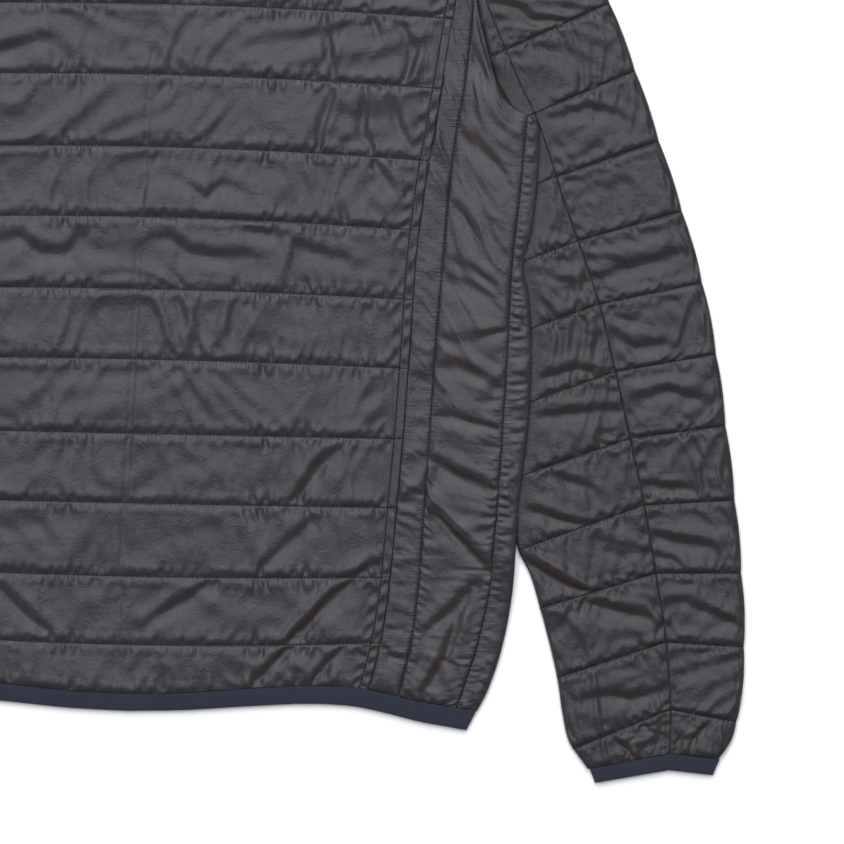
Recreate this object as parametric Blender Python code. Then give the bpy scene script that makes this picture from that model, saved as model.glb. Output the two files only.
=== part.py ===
"""A light quilted jacket laid flat on its front, with its back upward.

X runs across the garment, Y up from the hem to the collar and Z up from the surface
it lies on.  Widths and heights in the tables are millimetres, with heights measured up
from the middle of the hem; cloth() turns them into metres round the garment's middle.
Each panel is a closed wall: quilting stands up in its outer points, over a plain inside.
"""

import math

import bmesh
import bpy
from mathutils import Vector

MM = 0.001

# The garment, millimetres
MIDDLE_HEIGHT = 361.0       # height over the hem that the origin lies at
SHOULDER_HEIGHT = 645.0
SHOULDER_HALF = 232.0       # half of the width across the shoulder points
NECK_SIDE_HEIGHT = 700.0
NECK_HALF = 85.0
BACK_NECK_DROP = 20.0
FRONT_NECK_DROP = 78.0
COLLAR_HEIGHT = 65.0
NECK_TURN = 5.0             # how far in from the collar's side fold its cloth turns over
COLLAR_TAPER = 0.94         # width at the collar's top edge over that at its base
FRONT_NECK_GAP = 1.5
UNDERARM_HEIGHT = 413.5
SIDE_HEAD = 573.0           # where the back and front seams meet the armhole
ARMHOLE_FROM = 540.0        # the armhole bounds the centre back above this
HEM_HEIGHT = 5.0            # first guesses for a height that depends on the width there
CHEST_HEIGHT = 250.0
SEAM_GAP = 0.4              # between neighbouring pieces
BINDING_WIDTH = 12.0
BINDING_SPREAD = 2.5        # the hem binding's extra width where it is stretched at the side

# Layers, millimetres above the surface
FRONT_WALL = 2.4            # thickness of the layer that lies underneath
BACK_BASE = 2.7             # inside of the upper layer
SEAM_THICK = 1.4            # padded cloth pinched by a seam or a row of stitches
CROWN_THICK = 4.8           # padded cloth midway between two rows
NARROW_CROWN = 3.4          # crown of the narrow channels beside the back seam
COVERED_THICK = 1.5         # sleeve under the body's side
LEAST_THICK = 0.98          # padded cloth at the foot of the deepest fold
BINDING_THICK = 2.0
FOLD_REACH = 8.0            # how far in from a side fold the cloth rounds over
FOLD_INSIDE = 2.4           # thickness of the cloth at a side fold
FOLD_SINK = 0.25            # how far the cloth has sunk to a seam's level where it turns over

# The body's side rides up over the sleeve, and the sleeve is thin under it; millimetres
SIDE_LIFT = 4.7
LIFT_ACROSS = (50.0, 4.0)   # in from the sleeve's inner fold: where the lift starts, is full
LIFT_FOOT = (60.0, 114.0)   # heights over which the lift grows
LIFT_HEAD = (434.0, 464.0)  # heights over which it goes
CLEAR_ACROSS = (1.0, 13.0)  # past the body's side, where the sleeve comes clear of it
CLEAR_HEIGHT = (438.0, 466.0)

# The body's upright lines, as half widths at each height
BODY_LINES = (
    # height, back_seam, inner_stitch, outer_stitch, side_fold
    (-12.0, 157.5, 186.0, 225.0, 239.0),
    (5.0, 162.0, 189.0, 230.5, 245.6),
    (20.0, 166.3, 191.5, 235.5, 253.0),
    (50.0, 173.5, 198.0, 244.5, 262.3),
    (90.0, 179.0, 202.5, 252.3, 268.8),
    (150.0, 183.5, 205.8, 256.8, 271.5),
    (200.0, 187.0, 208.4, 259.3, 276.8),
    (250.0, 189.7, 210.6, 261.6, 278.4),
    (295.0, 191.8, 213.2, 262.8, 276.0),
    (319.0, 193.0, 215.0, 263.8, 271.4),
    (345.0, 195.3, 216.4, 266.2, 277.2),
    (380.0, 199.3, 219.0, 269.2, 280.2),
    (413.0, 204.5, 222.8, 271.4, 280.8),
    (460.0, 211.3, 229.5, 274.0, 283.0),
    (503.0, 217.6, 232.6, 276.0, 285.0),
    (560.0, 226.0, 237.0, 278.0, 287.0),
    (610.0, 233.5, 243.0, 281.0, 289.0),
)
LINE_NAMES = ("back_seam", "inner_stitch", "outer_stitch", "side_fold")

ARMHOLE = (
    # height, half width
    (413.5, 280.5), (418.0, 278.4), (423.0, 272.0), (429.0, 261.5), (437.0, 253.7),
    (451.0, 248.4), (464.0, 244.6), (480.0, 240.4), (494.0, 236.8), (520.0, 231.8),
    (560.0, 228.2), (600.0, 228.6), (645.0, 232.0),
)

HEM_LINE = (
    # half width, height of the binding's lower edge
    (0.0, 0.0), (40.0, 1.4), (85.0, 5.0), (125.0, 7.6), (157.0, 6.8), (180.0, 2.8),
    (203.0, -2.6), (225.0, -6.3), (245.0, -9.3),
)

HEM_HALF = (238.6, 245.2)   # half width at the binding's lower and upper edge

BACK_QUILTING = (
    # height of a row of stitches at the middle, and at the back seam
    (46.7, 51.5), (94.5, 97.6), (145.8, 146.4), (194.6, 194.7), (246.7, 244.1),
    (296.0, 292.4), (346.5, 340.9), (395.7, 390.0), (446.3, 440.6), (495.7, 489.8),
    (545.5, 539.0), (595.0, 588.0), (645.0, 637.0),
)

# The sleeve's lengthwise lines, as half widths at each height
SLEEVE_FOLD_OUT = (
    (-26.0, 415.6), (-24.0, 416.8), (-10.0, 424.5), (11.0, 429.7), (54.0, 432.2),
    (106.0, 429.2), (157.0, 423.4), (211.0, 415.7), (259.0, 408.2), (308.5, 397.4),
    (358.0, 382.3), (407.0, 365.1), (456.0, 347.3), (503.0, 328.4), (549.5, 307.0),
    (588.0, 284.5), (615.0, 262.5), (630.0, 248.5), (642.0, 236.0),
)
SLEEVE_SEAM = (
    (-23.0, 381.2), (9.4, 381.2), (57.0, 377.0), (105.0, 368.7), (152.0, 359.8),
    (199.0, 348.8), (245.0, 337.5), (291.0, 325.5), (333.0, 310.5), (364.0, 298.6),
    (393.0, 288.8), (424.0, 276.9), (446.0, 265.8), (468.0, 256.0), (490.0, 246.2),
    (501.0, 241.6), (508.0, 237.6), (517.0, 232.7),
)
SLEEVE_FOLD_IN = (
    (-36.0, 325.8), (-24.0, 316.5), (-14.0, 310.0), (5.0, 305.3), (30.0, 301.1),
    (55.0, 294.8), (78.0, 288.2), (102.0, 280.5), (118.0, 272.4), (167.0, 260.4),
    (223.0, 255.2), (293.0, 255.6), (363.0, 263.4), (400.0, 262.8), (420.0, 259.4),
    (437.0, 254.1),
)
SLEEVE_TIP = 505.0          # height of the under sleeve's upper tip
SEAM_JOINS_ARMHOLE = 517.0

SLEEVE_QUILTING = (
    # height of a row of stitches at the inner fold, at the back seam and at the outer fold
    (None, 640.3, 641.0),
    (None, 617.0, 629.0),
    (None, 562.0, 594.0),
    (SLEEVE_TIP, 505.4, 549.5),
    (463.0, 468.5, 503.0),
    (417.0, 424.7, 456.0),
    (369.5, 380.5, 407.0),
    (315.5, 336.0, 358.3),
    (265.0, 292.0, 308.5),
    (214.0, 245.0, 258.7),
    (166.0, 198.5, 208.7),
    (118.5, 152.0, 156.8),
    (78.0, 104.5, 105.8),
    (29.6, 56.5, 54.0),
    (-19.8, 9.4, 1.5),
    (-33.3, -21.3, -24.4),
)

CUFF_LINES = (
    # edge: half width and height at the inner fold, at the seam and at the outer fold
    (325.4, -33.7, 381.2, -21.7, 416.4, -24.8),
    (329.4, -43.4, 380.6, -33.4, 411.8, -36.2),
)

# The largest folds: a ridge has a positive rise and a trough a negative one
BACK_FOLDS = (
    # x0, height0, x1, height1, half breadth, rise
    (171.0, 106.0, 128.0, 65.0, 9.0, -2.4),
    (128.0, 65.0, 91.0, 22.0, 9.0, -2.2),
    (158.0, 116.0, 112.0, 72.0, 10.0, 1.5),
    (62.0, 94.0, 16.0, 63.0, 9.0, -1.5),
    (-90.0, 83.0, -54.0, 52.0, 9.0, -1.5),
    (151.0, 192.0, 110.0, 147.0, 9.0, -1.6),
    (127.0, 134.0, 90.0, 99.0, 9.0, -1.4),
    (10.0, 331.0, 79.0, 319.0, 10.0, -1.6),
    (-95.0, 327.0, -39.0, 322.0, 10.0, -1.5),
    (28.0, 372.0, 73.0, 364.0, 9.0, -1.3),
    (182.0, 483.0, 187.0, 444.0, 8.0, -1.5),
    (159.0, 439.0, 161.0, 392.0, 8.0, -1.4),
    (4.0, 505.0, -2.0, 20.0, 7.0, -0.8),
    (-140.0, 300.0, -175.0, 255.0, 10.0, -1.5),
    (-165.0, 130.0, -120.0, 70.0, 10.0, -2.0),
    (-60.0, 470.0, -120.0, 450.0, 10.0, -1.4),
    (60.0, 610.0, 130.0, 560.0, 12.0, -1.6),
    (-70.0, 620.0, -150.0, 565.0, 12.0, -1.6),
    (180.0, 620.0, 215.0, 540.0, 11.0, -1.5),
)
SIDE_FOLDS = (
    (210.0, 145.0, 251.0, 103.0, 9.0, -2.0),
    (210.0, 180.0, 252.0, 159.0, 9.0, -1.8),
    (211.0, 209.0, 254.0, 202.0, 9.0, -1.3),
    (241.0, 92.0, 212.0, 62.0, 9.0, -1.8),
    (226.0, 53.0, 209.0, 16.0, 8.0, -2.2),
    (217.0, 320.0, 250.0, 302.0, 10.0, -1.9),
    (214.0, 265.0, 262.0, 271.0, 8.0, -1.6),
    (212.0, 243.0, 254.0, 236.0, 9.0, -1.4),
    (219.0, 360.0, 234.0, 340.0, 8.0, -1.5),
)
SLEEVE_FOLDS = (
    (278.0, 110.0, 324.0, 88.0, 9.0, -2.4),
    (320.0, 82.0, 365.0, 72.0, 9.0, -2.0),
    (273.0, 146.0, 317.0, 137.0, 9.0, -1.8),
    (358.0, 166.0, 391.0, 164.0, 9.0, -1.6),
    (364.0, 131.0, 406.0, 124.0, 9.0, -1.7),
    (373.0, 84.0, 429.0, 69.0, 9.0, -1.8),
    (280.0, 210.0, 338.0, 217.0, 10.0, -1.5),
    (321.0, 15.0, 378.0, 24.0, 9.0, -1.7),
    (300.0, 300.0, 390.0, 330.0, 11.0, -1.2),
    (262.0, 540.0, 300.0, 520.0, 11.0, -1.6),
)

# Zip, millimetres
FRONT_EDGE = 8.3            # half of the opening between the two fronts
TAPE_INNER = 3.2
TAPE_THICK = 0.8
TEETH_HALF = 2.8
TEETH_THICK = 1.1
ZIP_FOOT = 1.0
ZIP_HEAD = 684.0
SLIDER_SIZE = (9.0, 12.0, 0.9)
SLIDER_HEIGHT = 672.0
PULLER_SIZE = (5.0, 30.0, 0.8)
LOWEST_HARDWARE = 0.1

# Looks: base colour, roughness, metallic
NYLON = ("charcoal_nylon", (0.062, 0.058, 0.060, 1.0), 0.38, 0.0)
BINDING = ("navy_stretch_binding", (0.030, 0.039, 0.068, 1.0), 0.85, 0.0)
TAPE = ("navy_zip_tape", (0.022, 0.026, 0.040, 1.0), 0.9, 0.0)
TEETH = ("black_moulded_teeth", (0.015, 0.015, 0.017, 1.0), 0.45, 0.0)
ENAMEL = ("black_enamelled_zinc", (0.02, 0.02, 0.022, 1.0), 0.35, 0.8)

BACK_COLUMNS = (0.0, 0.09, 0.18, 0.27, 0.36, 0.45, 0.54, 0.63, 0.72, 0.81, 0.89, 0.95, 0.985, 1.0)
CHANNEL_STATIONS = (0.0, 0.2, 0.5, 0.8)
FOLD_STATIONS = ((1.0, 1.0), (0.3, 0.72), (0.0, 0.0))   # share of reach, share of rise
BINDING_EDGES = ((0.0, 0.55), (0.12, 1.0), (0.88, 1.0), (1.0, 0.7))     # share up, fullness
SIDE_COLUMNS = (0.0, 0.33, 0.67, 1.0, 1.15, 1.3, 1.45, 1.6, 1.75, 1.88, 2.0)
SIDE_ROWS = 25
INSIDE_ROWS = 14
SLEEVE_COLUMNS = (0.0, 0.07, 0.3, 0.6, 0.85)            # from the seam to the fold's start
BINDING_FOLD = ((6.0, 0.92), (2.0, 0.6), (0.0, 0.0))    # inset from the fold, share of rise
NECK_FOLD = ((1.5, 0.6), (0.0, 0.0))
COLLAR_COLUMNS = (0.75, 0.5, 0.25, 0.0)                 # share of the neck's half width
CUFF_STATIONS = (
    # from the inner fold (0) over the seam (1) to the outer fold (2), share of rise
    (0.0, 0.0), (0.05, 0.6), (0.2, 0.92), (0.6, 1.0), (1.0, 1.0), (1.5, 1.0),
    (1.85, 0.92), (1.95, 0.6), (2.0, 0.0),
)
CUFF_INSIDE = (0.035, 1.0, 1.95)
BACK_PINCH = 16.0           # how far in from its seam the quilting is drawn flat, millimetres
SLEEVE_PINCH = 12.0
PUFF_POWER = 0.6            # below 1 the channels are flatter on top
SHARP_ANGLE = 50.0          # degrees


# ---------------------------------------------------------------- curves and relief

def curve(rows, column=1):
    """A smooth curve through one column of a table, as a function of its first column."""
    keys = [row[0] for row in rows]
    values = [row[column] for row in rows]
    slopes = []
    for i in range(len(rows)):
        before, after = max(i - 1, 0), min(i + 1, len(rows) - 1)
        slopes.append((values[after] - values[before]) / (keys[after] - keys[before]))

    def value(key):
        i = 0
        while i < len(keys) - 2 and key > keys[i + 1]:
            i += 1
        span = keys[i + 1] - keys[i]
        t = (key - keys[i]) / span
        if t < 0.0:
            return values[0] + slopes[0] * (key - keys[0])
        if t > 1.0:
            return values[-1] + slopes[-1] * (key - keys[-1])
        a, b = slopes[i] * span, slopes[i + 1] * span
        c = values[i + 1] - values[i]
        return values[i] + t * (a + t * ((3 * c - 2 * a - b) + t * (a + b - 2 * c)))

    return value


body_line = {name: curve(BODY_LINES, i + 1) for i, name in enumerate(LINE_NAMES)}
armhole = curve(ARMHOLE)
hem_foot = curve(HEM_LINE)
sleeve_fold_out = curve(SLEEVE_FOLD_OUT)
sleeve_seam = curve(SLEEVE_SEAM)
sleeve_fold_in = curve(SLEEVE_FOLD_IN)


def mix(a, b, t):
    return a + (b - a) * t


def ease(low, high, value):
    """0 below low, 1 above high and a smooth step between them."""
    t = min(max((value - low) / (high - low), 0.0), 1.0)
    return t * t * (3.0 - 2.0 * t)


def spread(first, last, steps):
    """Evenly spaced values from first to last, with both ends."""
    return [mix(first, last, i / steps) for i in range(steps + 1)]


def crowded(steps):
    """Values from 0 to 1 that lie closer together towards both ends."""
    return [(1.0 - math.cos(math.pi * i / steps)) / 2.0 for i in range(steps + 1)]


def hem_top(x):
    """Height of the hem binding's upper edge."""
    return hem_foot(abs(x)) + BINDING_WIDTH + BINDING_SPREAD * (abs(x) / 240.0) ** 2


def puff(share):
    """Rise of a quilted channel, 0 at its two rows of stitches and 1 at its crown."""
    return max(math.sin(math.pi * share), 0.0) ** PUFF_POWER


def folds_rise(folds, x, height):
    """Sum of the folds at one place of the garment."""
    total = 0.0
    for x0, y0, x1, y1, breadth, rise in folds:
        along = Vector((x1 - x0, y1 - y0))
        from_start = Vector((x - x0, height - y0))
        t = from_start.dot(along) / along.length_squared
        nearest = along * min(max(t, 0.0), 1.0)
        off = (from_start - nearest).length / breadth
        total += rise * math.exp(-off * off)
    return total


def side_lift(x, height):
    """How far the body's side rides up over the sleeve's inner edge."""
    edge = sleeve_fold_in(min(height, SLEEVE_FOLD_IN[-1][0]))
    across = ease(edge - LIFT_ACROSS[0], edge - LIFT_ACROSS[1], x)
    along = ease(*LIFT_FOOT, height) * (1.0 - ease(*LIFT_HEAD, height))
    return SIDE_LIFT * across * along


# ---------------------------------------------------------------- closed walls

def strip(bm, near, far):
    """Triangles between two rows of vertices that may differ in number."""
    def shares(row):
        lengths = [0.0]
        for a, b in zip(row, row[1:]):
            lengths.append(lengths[-1] + (b.co - a.co).length)
        return [length / lengths[-1] for length in lengths]

    near_at, far_at = shares(near), shares(far)
    i = j = 0
    while i < len(near) - 1 or j < len(far) - 1:
        near_next = near_at[i + 1] if i < len(near) - 1 else 2.0
        far_next = far_at[j + 1] if j < len(far) - 1 else 2.0
        if near_next <= far_next:
            bm.faces.new((near[i + 1], near[i], far[j]))
            i += 1
        else:
            bm.faces.new((near[i], far[j], far[j + 1]))
            j += 1


def skin(bm, grid, ring=False):
    """Faces over rows of vertices; a ring's last column meets its first."""
    for lower, upper in zip(grid, grid[1:]):
        columns = len(lower)
        for i in range(columns if ring else columns - 1):
            k = (i + 1) % columns
            bm.faces.new((lower[i], lower[k], upper[k], upper[i]))


def material(look):
    """The Principled material of one cloth or hard part, made once."""
    name, colour, roughness, metallic = look
    found = bpy.data.materials.get(name)
    if found:
        return found
    made = bpy.data.materials.new(name)
    made.use_nodes = True
    shader = made.node_tree.nodes["Principled BSDF"]
    shader.inputs["Base Color"].default_value = colour
    shader.inputs["Roughness"].default_value = roughness
    shader.inputs["Metallic"].default_value = metallic
    made.diffuse_color = colour
    return made


def finish(bm, name, look):
    """Turn a closed bmesh into a named object in metres, round the garment's middle."""
    for vert in bm.verts:
        vert.co = Vector((vert.co.x, vert.co.y - MIDDLE_HEIGHT, vert.co.z)) * MM
    bmesh.ops.recalc_face_normals(bm, faces=bm.faces[:])
    mesh = bpy.data.meshes.new(name)
    bm.to_mesh(mesh)
    bm.free()
    mesh.shade_smooth()
    mesh.set_sharp_from_angle(angle=math.radians(SHARP_ANGLE))
    mesh.materials.append(material(look))
    bpy.context.collection.objects.link(bpy.data.objects.new(name, mesh))


def cloth(name, outer, inner, side, look, ring=False):
    """A closed wall between a grid of outer points and a sparser grid of inner ones."""
    bm = bmesh.new()
    out, ins = ([[bm.verts.new((side * x, y, z)) for x, y, z in row] for row in grid]
                for grid in (outer, inner))
    skin(bm, out, ring)
    skin(bm, [row[::-1] for row in ins], ring)
    if ring:
        strip(bm, out[0] + out[0][:1], ins[0] + ins[0][:1])
        strip(bm, out[-1][::-1] + out[-1][-1:], ins[-1][::-1] + ins[-1][-1:])
    else:
        strip(bm, out[0], ins[0])
        strip(bm, [row[-1] for row in out], [row[-1] for row in ins])
        strip(bm, out[-1][::-1], ins[-1][::-1])
        strip(bm, [row[0] for row in out][::-1], [row[0] for row in ins][::-1])
    finish(bm, name, look)


# ---------------------------------------------------------------- body

def body_half(height):
    """Half width of the centre back at a height: the back seam, then the armhole."""
    return min(body_line["back_seam"](height), armhole(max(height, ARMHOLE_FROM)))


def shoulder_line(x):
    """Height of the shoulder seam, and of the back neckline between the shoulders."""
    x = abs(x)
    if x < NECK_HALF:
        return NECK_SIDE_HEIGHT - BACK_NECK_DROP * (1.0 - (x / NECK_HALF) ** 2)
    along = (x - NECK_HALF) / (SHOULDER_HALF - NECK_HALF)
    return mix(NECK_SIDE_HEIGHT, SHOULDER_HEIGHT, min(along, 1.0))


def front_neck_line(x):
    """Height of the front's neckline, and of the shoulder seam beyond it."""
    if x >= NECK_HALF:
        return shoulder_line(x)
    return NECK_SIDE_HEIGHT - FRONT_NECK_DROP * math.sqrt(1.0 - (x / NECK_HALF) ** 2)


def front_neck_stations():
    """Half widths of the points along the front's neckline, closer where it turns up."""
    start = math.asin(FRONT_EDGE / NECK_HALF)
    finish_at = math.asin(1.0 - NECK_TURN / NECK_HALF)
    return [NECK_HALF * math.sin(turn) for turn in spread(start, finish_at, 7)]


def back_rows():
    """Rows of the centre back, as (edge below, edge above, share of the way between)."""
    rows = []
    edges = [("hem",)] + list(BACK_QUILTING) + [("neck",)]
    for low, high in zip(edges, edges[1:]):
        rows += [(low, high, share) for share in CHANNEL_STATIONS]
    return rows + [(edges[-2], edges[-1], 1.0)]


def row_height(edge, x, across):
    """Height of one row of stitches, or of the panel's end, at a place across it."""
    if edge[0] == "hem":
        return hem_top(x) + SEAM_GAP
    if edge[0] == "neck":
        return shoulder_line(x) - SEAM_GAP
    return mix(edge[0], edge[1], across * across)


def back_point(low, high, share, across):
    """Place of one point of the centre back, before its rise."""
    x = across * body_half(CHEST_HEIGHT)
    for _ in range(3):
        height = mix(row_height(low, x, across), row_height(high, x, across), share)
        x = across * (body_half(height) - SEAM_GAP / 2)
    return x, height


def make_back():
    columns = [-c for c in BACK_COLUMNS[:0:-1]] + list(BACK_COLUMNS)
    outer = []
    for low, high, share in back_rows():
        row = []
        for across in columns:
            x, height = back_point(low, high, share, across)
            pinch = ease(0.0, BACK_PINCH, (1.0 - abs(across)) * body_half(height))
            thick = SEAM_THICK + (CROWN_THICK - SEAM_THICK) * puff(share) * mix(0.25, 1.0, pinch)
            thick += folds_rise(BACK_FOLDS, x, height) * pinch * mix(0.45, 1.0, puff(share))
            row.append((x, height, BACK_BASE + max(thick, LEAST_THICK)))
        outer.append(row)

    bm = bmesh.new()
    grid = [[bm.verts.new(point) for point in row] for row in outer]
    skin(bm, grid)
    rim = grid[0][:-1] + [row[-1] for row in grid[:-1]]
    rim += grid[-1][:0:-1] + [row[0] for row in grid[:0:-1]]
    inside = [bm.verts.new((vert.co.x, vert.co.y, BACK_BASE)) for vert in rim]
    for i, vert in enumerate(rim):
        bm.faces.new((vert, rim[i - 1], inside[i - 1], inside[i]))
    bm.faces.new(inside[::-1])
    finish(bm, "back_panel", NYLON)


def make_front(side, name):
    """One front: a plain flat wall from the zip to the side panel's front seam."""
    outline = [(FRONT_EDGE, hem_top(FRONT_EDGE) + SEAM_GAP)]
    neck = front_neck_stations() + [NECK_HALF - inset for inset, _ in NECK_FOLD]
    outline += [(x, front_neck_line(x) - FRONT_NECK_GAP) for x in neck]
    for height in reversed(spread(SIDE_HEAD, SHOULDER_HEIGHT, 4)):
        outline.append((armhole(height) - SEAM_GAP, height - SEAM_GAP))
    half = body_line["back_seam"]
    foot = hem_top(half(HEM_HEIGHT)) + SEAM_GAP
    for height in reversed(spread(foot, SIDE_HEAD, SIDE_ROWS)):
        outline.append((half(height) - SEAM_GAP * 0.75, height))
    for x in reversed(spread(FRONT_EDGE, half(foot), 12)[1:-1]):
        outline.append((x, hem_top(x) + SEAM_GAP))

    bm = bmesh.new()
    flat = bm.faces.new([bm.verts.new((side * x, height, 0.0)) for x, height in outline])
    wall = bmesh.ops.extrude_face_region(bm, geom=[flat], use_keep_orig=True)
    raised = [item for item in wall["geom"] if isinstance(item, bmesh.types.BMVert)]
    bmesh.ops.translate(bm, verts=raised, vec=(0.0, 0.0, FRONT_WALL))
    finish(bm, name, NYLON)


def side_line(place, height):
    """Half width of an upright line of the side panel; 0 to 3 runs from seam to fold."""
    i = min(int(place), 2)
    low, high = (body_line[name](height) for name in LINE_NAMES[i:i + 2])
    return mix(low, high, place - i)


def side_head(x_at):
    """Height at which an upright line, given as a function, meets the armhole."""
    low, high = UNDERARM_HEIGHT, 600.0
    for _ in range(40):
        middle = (low + high) / 2
        if armhole(middle) > x_at(middle):
            low = middle
        else:
            high = middle
    return low


def side_channel(place):
    """Rise of the upright channels across the side panel."""
    if place < 1.0:
        return (NARROW_CROWN - SEAM_THICK) * puff(place)
    if place < 2.0:
        return (CROWN_THICK - SEAM_THICK) * puff(place - 1.0)
    return (CROWN_THICK - SEAM_THICK) * 0.75 * math.sqrt(min((place - 2.0) * 2.0, 1.0))


def make_side(side, name):
    """Side panel: from the back seam over the side fold to the front seam underneath."""
    fold_middle = (FRONT_WALL + BACK_BASE) / 2
    fold_thick = SEAM_THICK + side_channel(2.6)

    def upright(line, share, level):
        """A point of an upright line, which is a place across or an inset from the fold."""
        place, inset = line

        def x_at(height):
            if place is None:
                return body_line["side_fold"](height) - inset
            return side_line(place, height) + inset

        foot = hem_top(x_at(HEM_HEIGHT)) + SEAM_GAP
        height = mix(foot, side_head(x_at) - SEAM_GAP, share)
        x = x_at(height)
        return x, height, level + side_lift(x, height)

    flats = [(place, SEAM_GAP / 2 if place == 0.0 else 0.0) for place in SIDE_COLUMNS]

    outer = []
    for share in spread(0.0, 1.0, SIDE_ROWS):
        end_pinch = ease(0.0, 0.05, share) * (1.0 - ease(0.96, 1.0, share))
        row = []
        for line in flats:
            place = line[0]
            thick = SEAM_THICK + side_channel(place) * mix(0.3, 1.0, end_pinch)
            x, height, level = upright(line, share, BACK_BASE)
            keep = end_pinch * mix(0.4, 1.0, puff(place % 1.0))
            thick += folds_rise(SIDE_FOLDS, x, height) * keep
            row.append((x, height, level + max(thick, LEAST_THICK)))
        top = BACK_BASE + mix(SEAM_THICK * 1.4, fold_thick, end_pinch)
        for reach, rise in FOLD_STATIONS:
            row.append(upright((None, FOLD_REACH * reach), share, mix(fold_middle, top, rise)))
        for reach, rise in FOLD_STATIONS[1::-1]:
            row.append(upright((None, FOLD_REACH * reach), share, fold_middle * (1.0 - rise)))
        row += [upright(line, share, 0.0) for line in flats[::-1]]
        outer.append(row)

    inner = []
    for share in crowded(INSIDE_ROWS):
        row = [upright(line, share, BACK_BASE) for line in flats]
        row += [upright((None, FOLD_INSIDE), share, level) for level in (BACK_BASE, FRONT_WALL)]
        row += [upright(line, share, FRONT_WALL) for line in flats[::-1]]
        inner.append(row)
    cloth(name, outer, inner, side, NYLON)


def make_hem_binding():
    """Stretch binding round the hem, from one side of the zip to the other."""
    fold_middle = (FRONT_WALL + BACK_BASE) / 2
    flats = spread(FRONT_EDGE, HEM_HALF[0] - BINDING_FOLD[0][0], 14)

    def row(stations, share):
        """Points along one edge, from stations of (x or None, inset from the fold, level)."""
        half = []
        for x, inset, level in stations:
            if x is None:
                x = mix(*HEM_HALF, share) - inset
            half.append((x, mix(hem_foot(x), hem_top(x), share), level))
        return half

    outer, inner = [], []
    for share, fullness in BINDING_EDGES:
        top = BACK_BASE + BINDING_THICK * fullness
        stations = [(x, None, 0.0) for x in flats]
        stations += [(None, inset, fold_middle * (1.0 - rise)) for inset, rise in BINDING_FOLD]
        stations += [(None, inset, mix(fold_middle, top, rise))
                     for inset, rise in BINDING_FOLD[1::-1]]
        stations += [(x, None, top) for x in flats[:0:-1]] + [(0.0, None, top)]
        half = row(stations, share)
        outer.append(half + [(-x, y, z) for x, y, z in half[-2::-1]])
    for share, _ in BINDING_EDGES[::3]:
        stations = [(x, None, FRONT_WALL) for x in flats[::2]]
        stations += [(None, FOLD_INSIDE, level) for level in (FRONT_WALL, BACK_BASE)]
        stations += [(x, None, BACK_BASE) for x in flats[::-2]]
        half = row(stations, share)
        inner.append(half + [(-x, y, z) for x, y, z in half[::-1]])
    cloth("hem_binding", outer, inner, 1, BINDING)


# ---------------------------------------------------------------- sleeves

def armhole_side(height):
    """Left edge of the outer sleeve: its back seam, then the armhole."""
    if height > SEAM_JOINS_ARMHOLE:
        return armhole(height) + SEAM_GAP
    return max(sleeve_seam(height), armhole(max(height, SLEEVE_TIP)) + SEAM_GAP)


def under_side(height):
    """Inner edge of the under sleeve: its fold, then the armhole."""
    if height < SLEEVE_FOLD_IN[-1][0]:
        return sleeve_fold_in(height)
    return armhole(height) + SEAM_GAP


def sleeve_rise(x, height, share, from_seam):
    """Thickness of the sleeve's upper layer, thinner where the body's side covers it."""
    beyond_body = ease(*CLEAR_ACROSS, x - body_line["side_fold"](height))
    open_air = max(beyond_body, ease(*CLEAR_HEIGHT, height))
    pinch = ease(0.0, SLEEVE_PINCH, from_seam)
    thick = SEAM_THICK + (CROWN_THICK - SEAM_THICK) * puff(share) * mix(0.3, 1.0, pinch)
    thick += folds_rise(SLEEVE_FOLDS, x, height) * pinch * mix(0.45, 1.0, puff(share))
    return mix(COVERED_THICK, max(thick, LEAST_THICK), open_air)


def sleeve_row(seam_end, fold_end, share):
    """Outer and inner points of one row, from the seam round the fold and back under."""
    seam_at, fold_at = Vector(seam_end), Vector(fold_end)
    length = (fold_at - seam_at).length
    inward = (seam_at - fold_at) / length
    reach = min(FOLD_REACH, length * 0.6)
    inside = min(FOLD_INSIDE, length * 0.3)
    fold_middle = (FRONT_WALL + BACK_BASE) / 2

    def level_at(place, distance):
        return BACK_BASE + sleeve_rise(place.x, place.y, share, length - distance)

    outer, inner = [], []
    turn = fold_at + inward * reach
    for part in SLEEVE_COLUMNS:
        place = seam_at.lerp(turn, part)
        outer.append((*place, level_at(place, (place - fold_at).length)))
    top = mix(level_at(turn, reach), BACK_BASE + SEAM_THICK, FOLD_SINK)
    for share_in, rise in FOLD_STATIONS:
        outer.append((*(fold_at + inward * reach * share_in), mix(fold_middle, top, rise)))
    for share_in, rise in FOLD_STATIONS[1::-1]:
        outer.append((*(fold_at + inward * reach * share_in), fold_middle * (1.0 - rise)))
    outer.append((*seam_at, 0.0))
    for level in (BACK_BASE, FRONT_WALL):
        ends = [(*seam_at, level), (*(fold_at + inward * inside), level)]
        inner += ends if level == BACK_BASE else ends[::-1]
    return outer, inner


def make_sleeve_panel(side, name, first_row, seam_x, fold_x, columns):
    """A sleeve panel, from the cuff up, through the rows of the sleeve's quilting."""
    lines = [tuple(row[c] for c in columns) for row in SLEEVE_QUILTING[first_row:]][::-1]
    outer, inner = [], []
    for low, high in zip(lines, lines[1:]):
        for share in CHANNEL_STATIONS:
            seam_height, fold_height = (mix(a, b, share) for a, b in zip(low, high))
            seam_end = (seam_x(seam_height), seam_height)
            fold_end = (fold_x(fold_height), fold_height)
            row, inside = sleeve_row(seam_end, fold_end, share)
            outer.append(row)
            if share in CHANNEL_STATIONS[::2]:
                inner.append(inside)
    seam_height, fold_height = lines[-1]
    row, inside = sleeve_row((seam_x(seam_height), seam_height),
                             (fold_x(fold_height), fold_height), 0.0)
    outer.append(row)
    inner.append(inside)
    cloth(name, outer, inner, side, NYLON)


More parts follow.
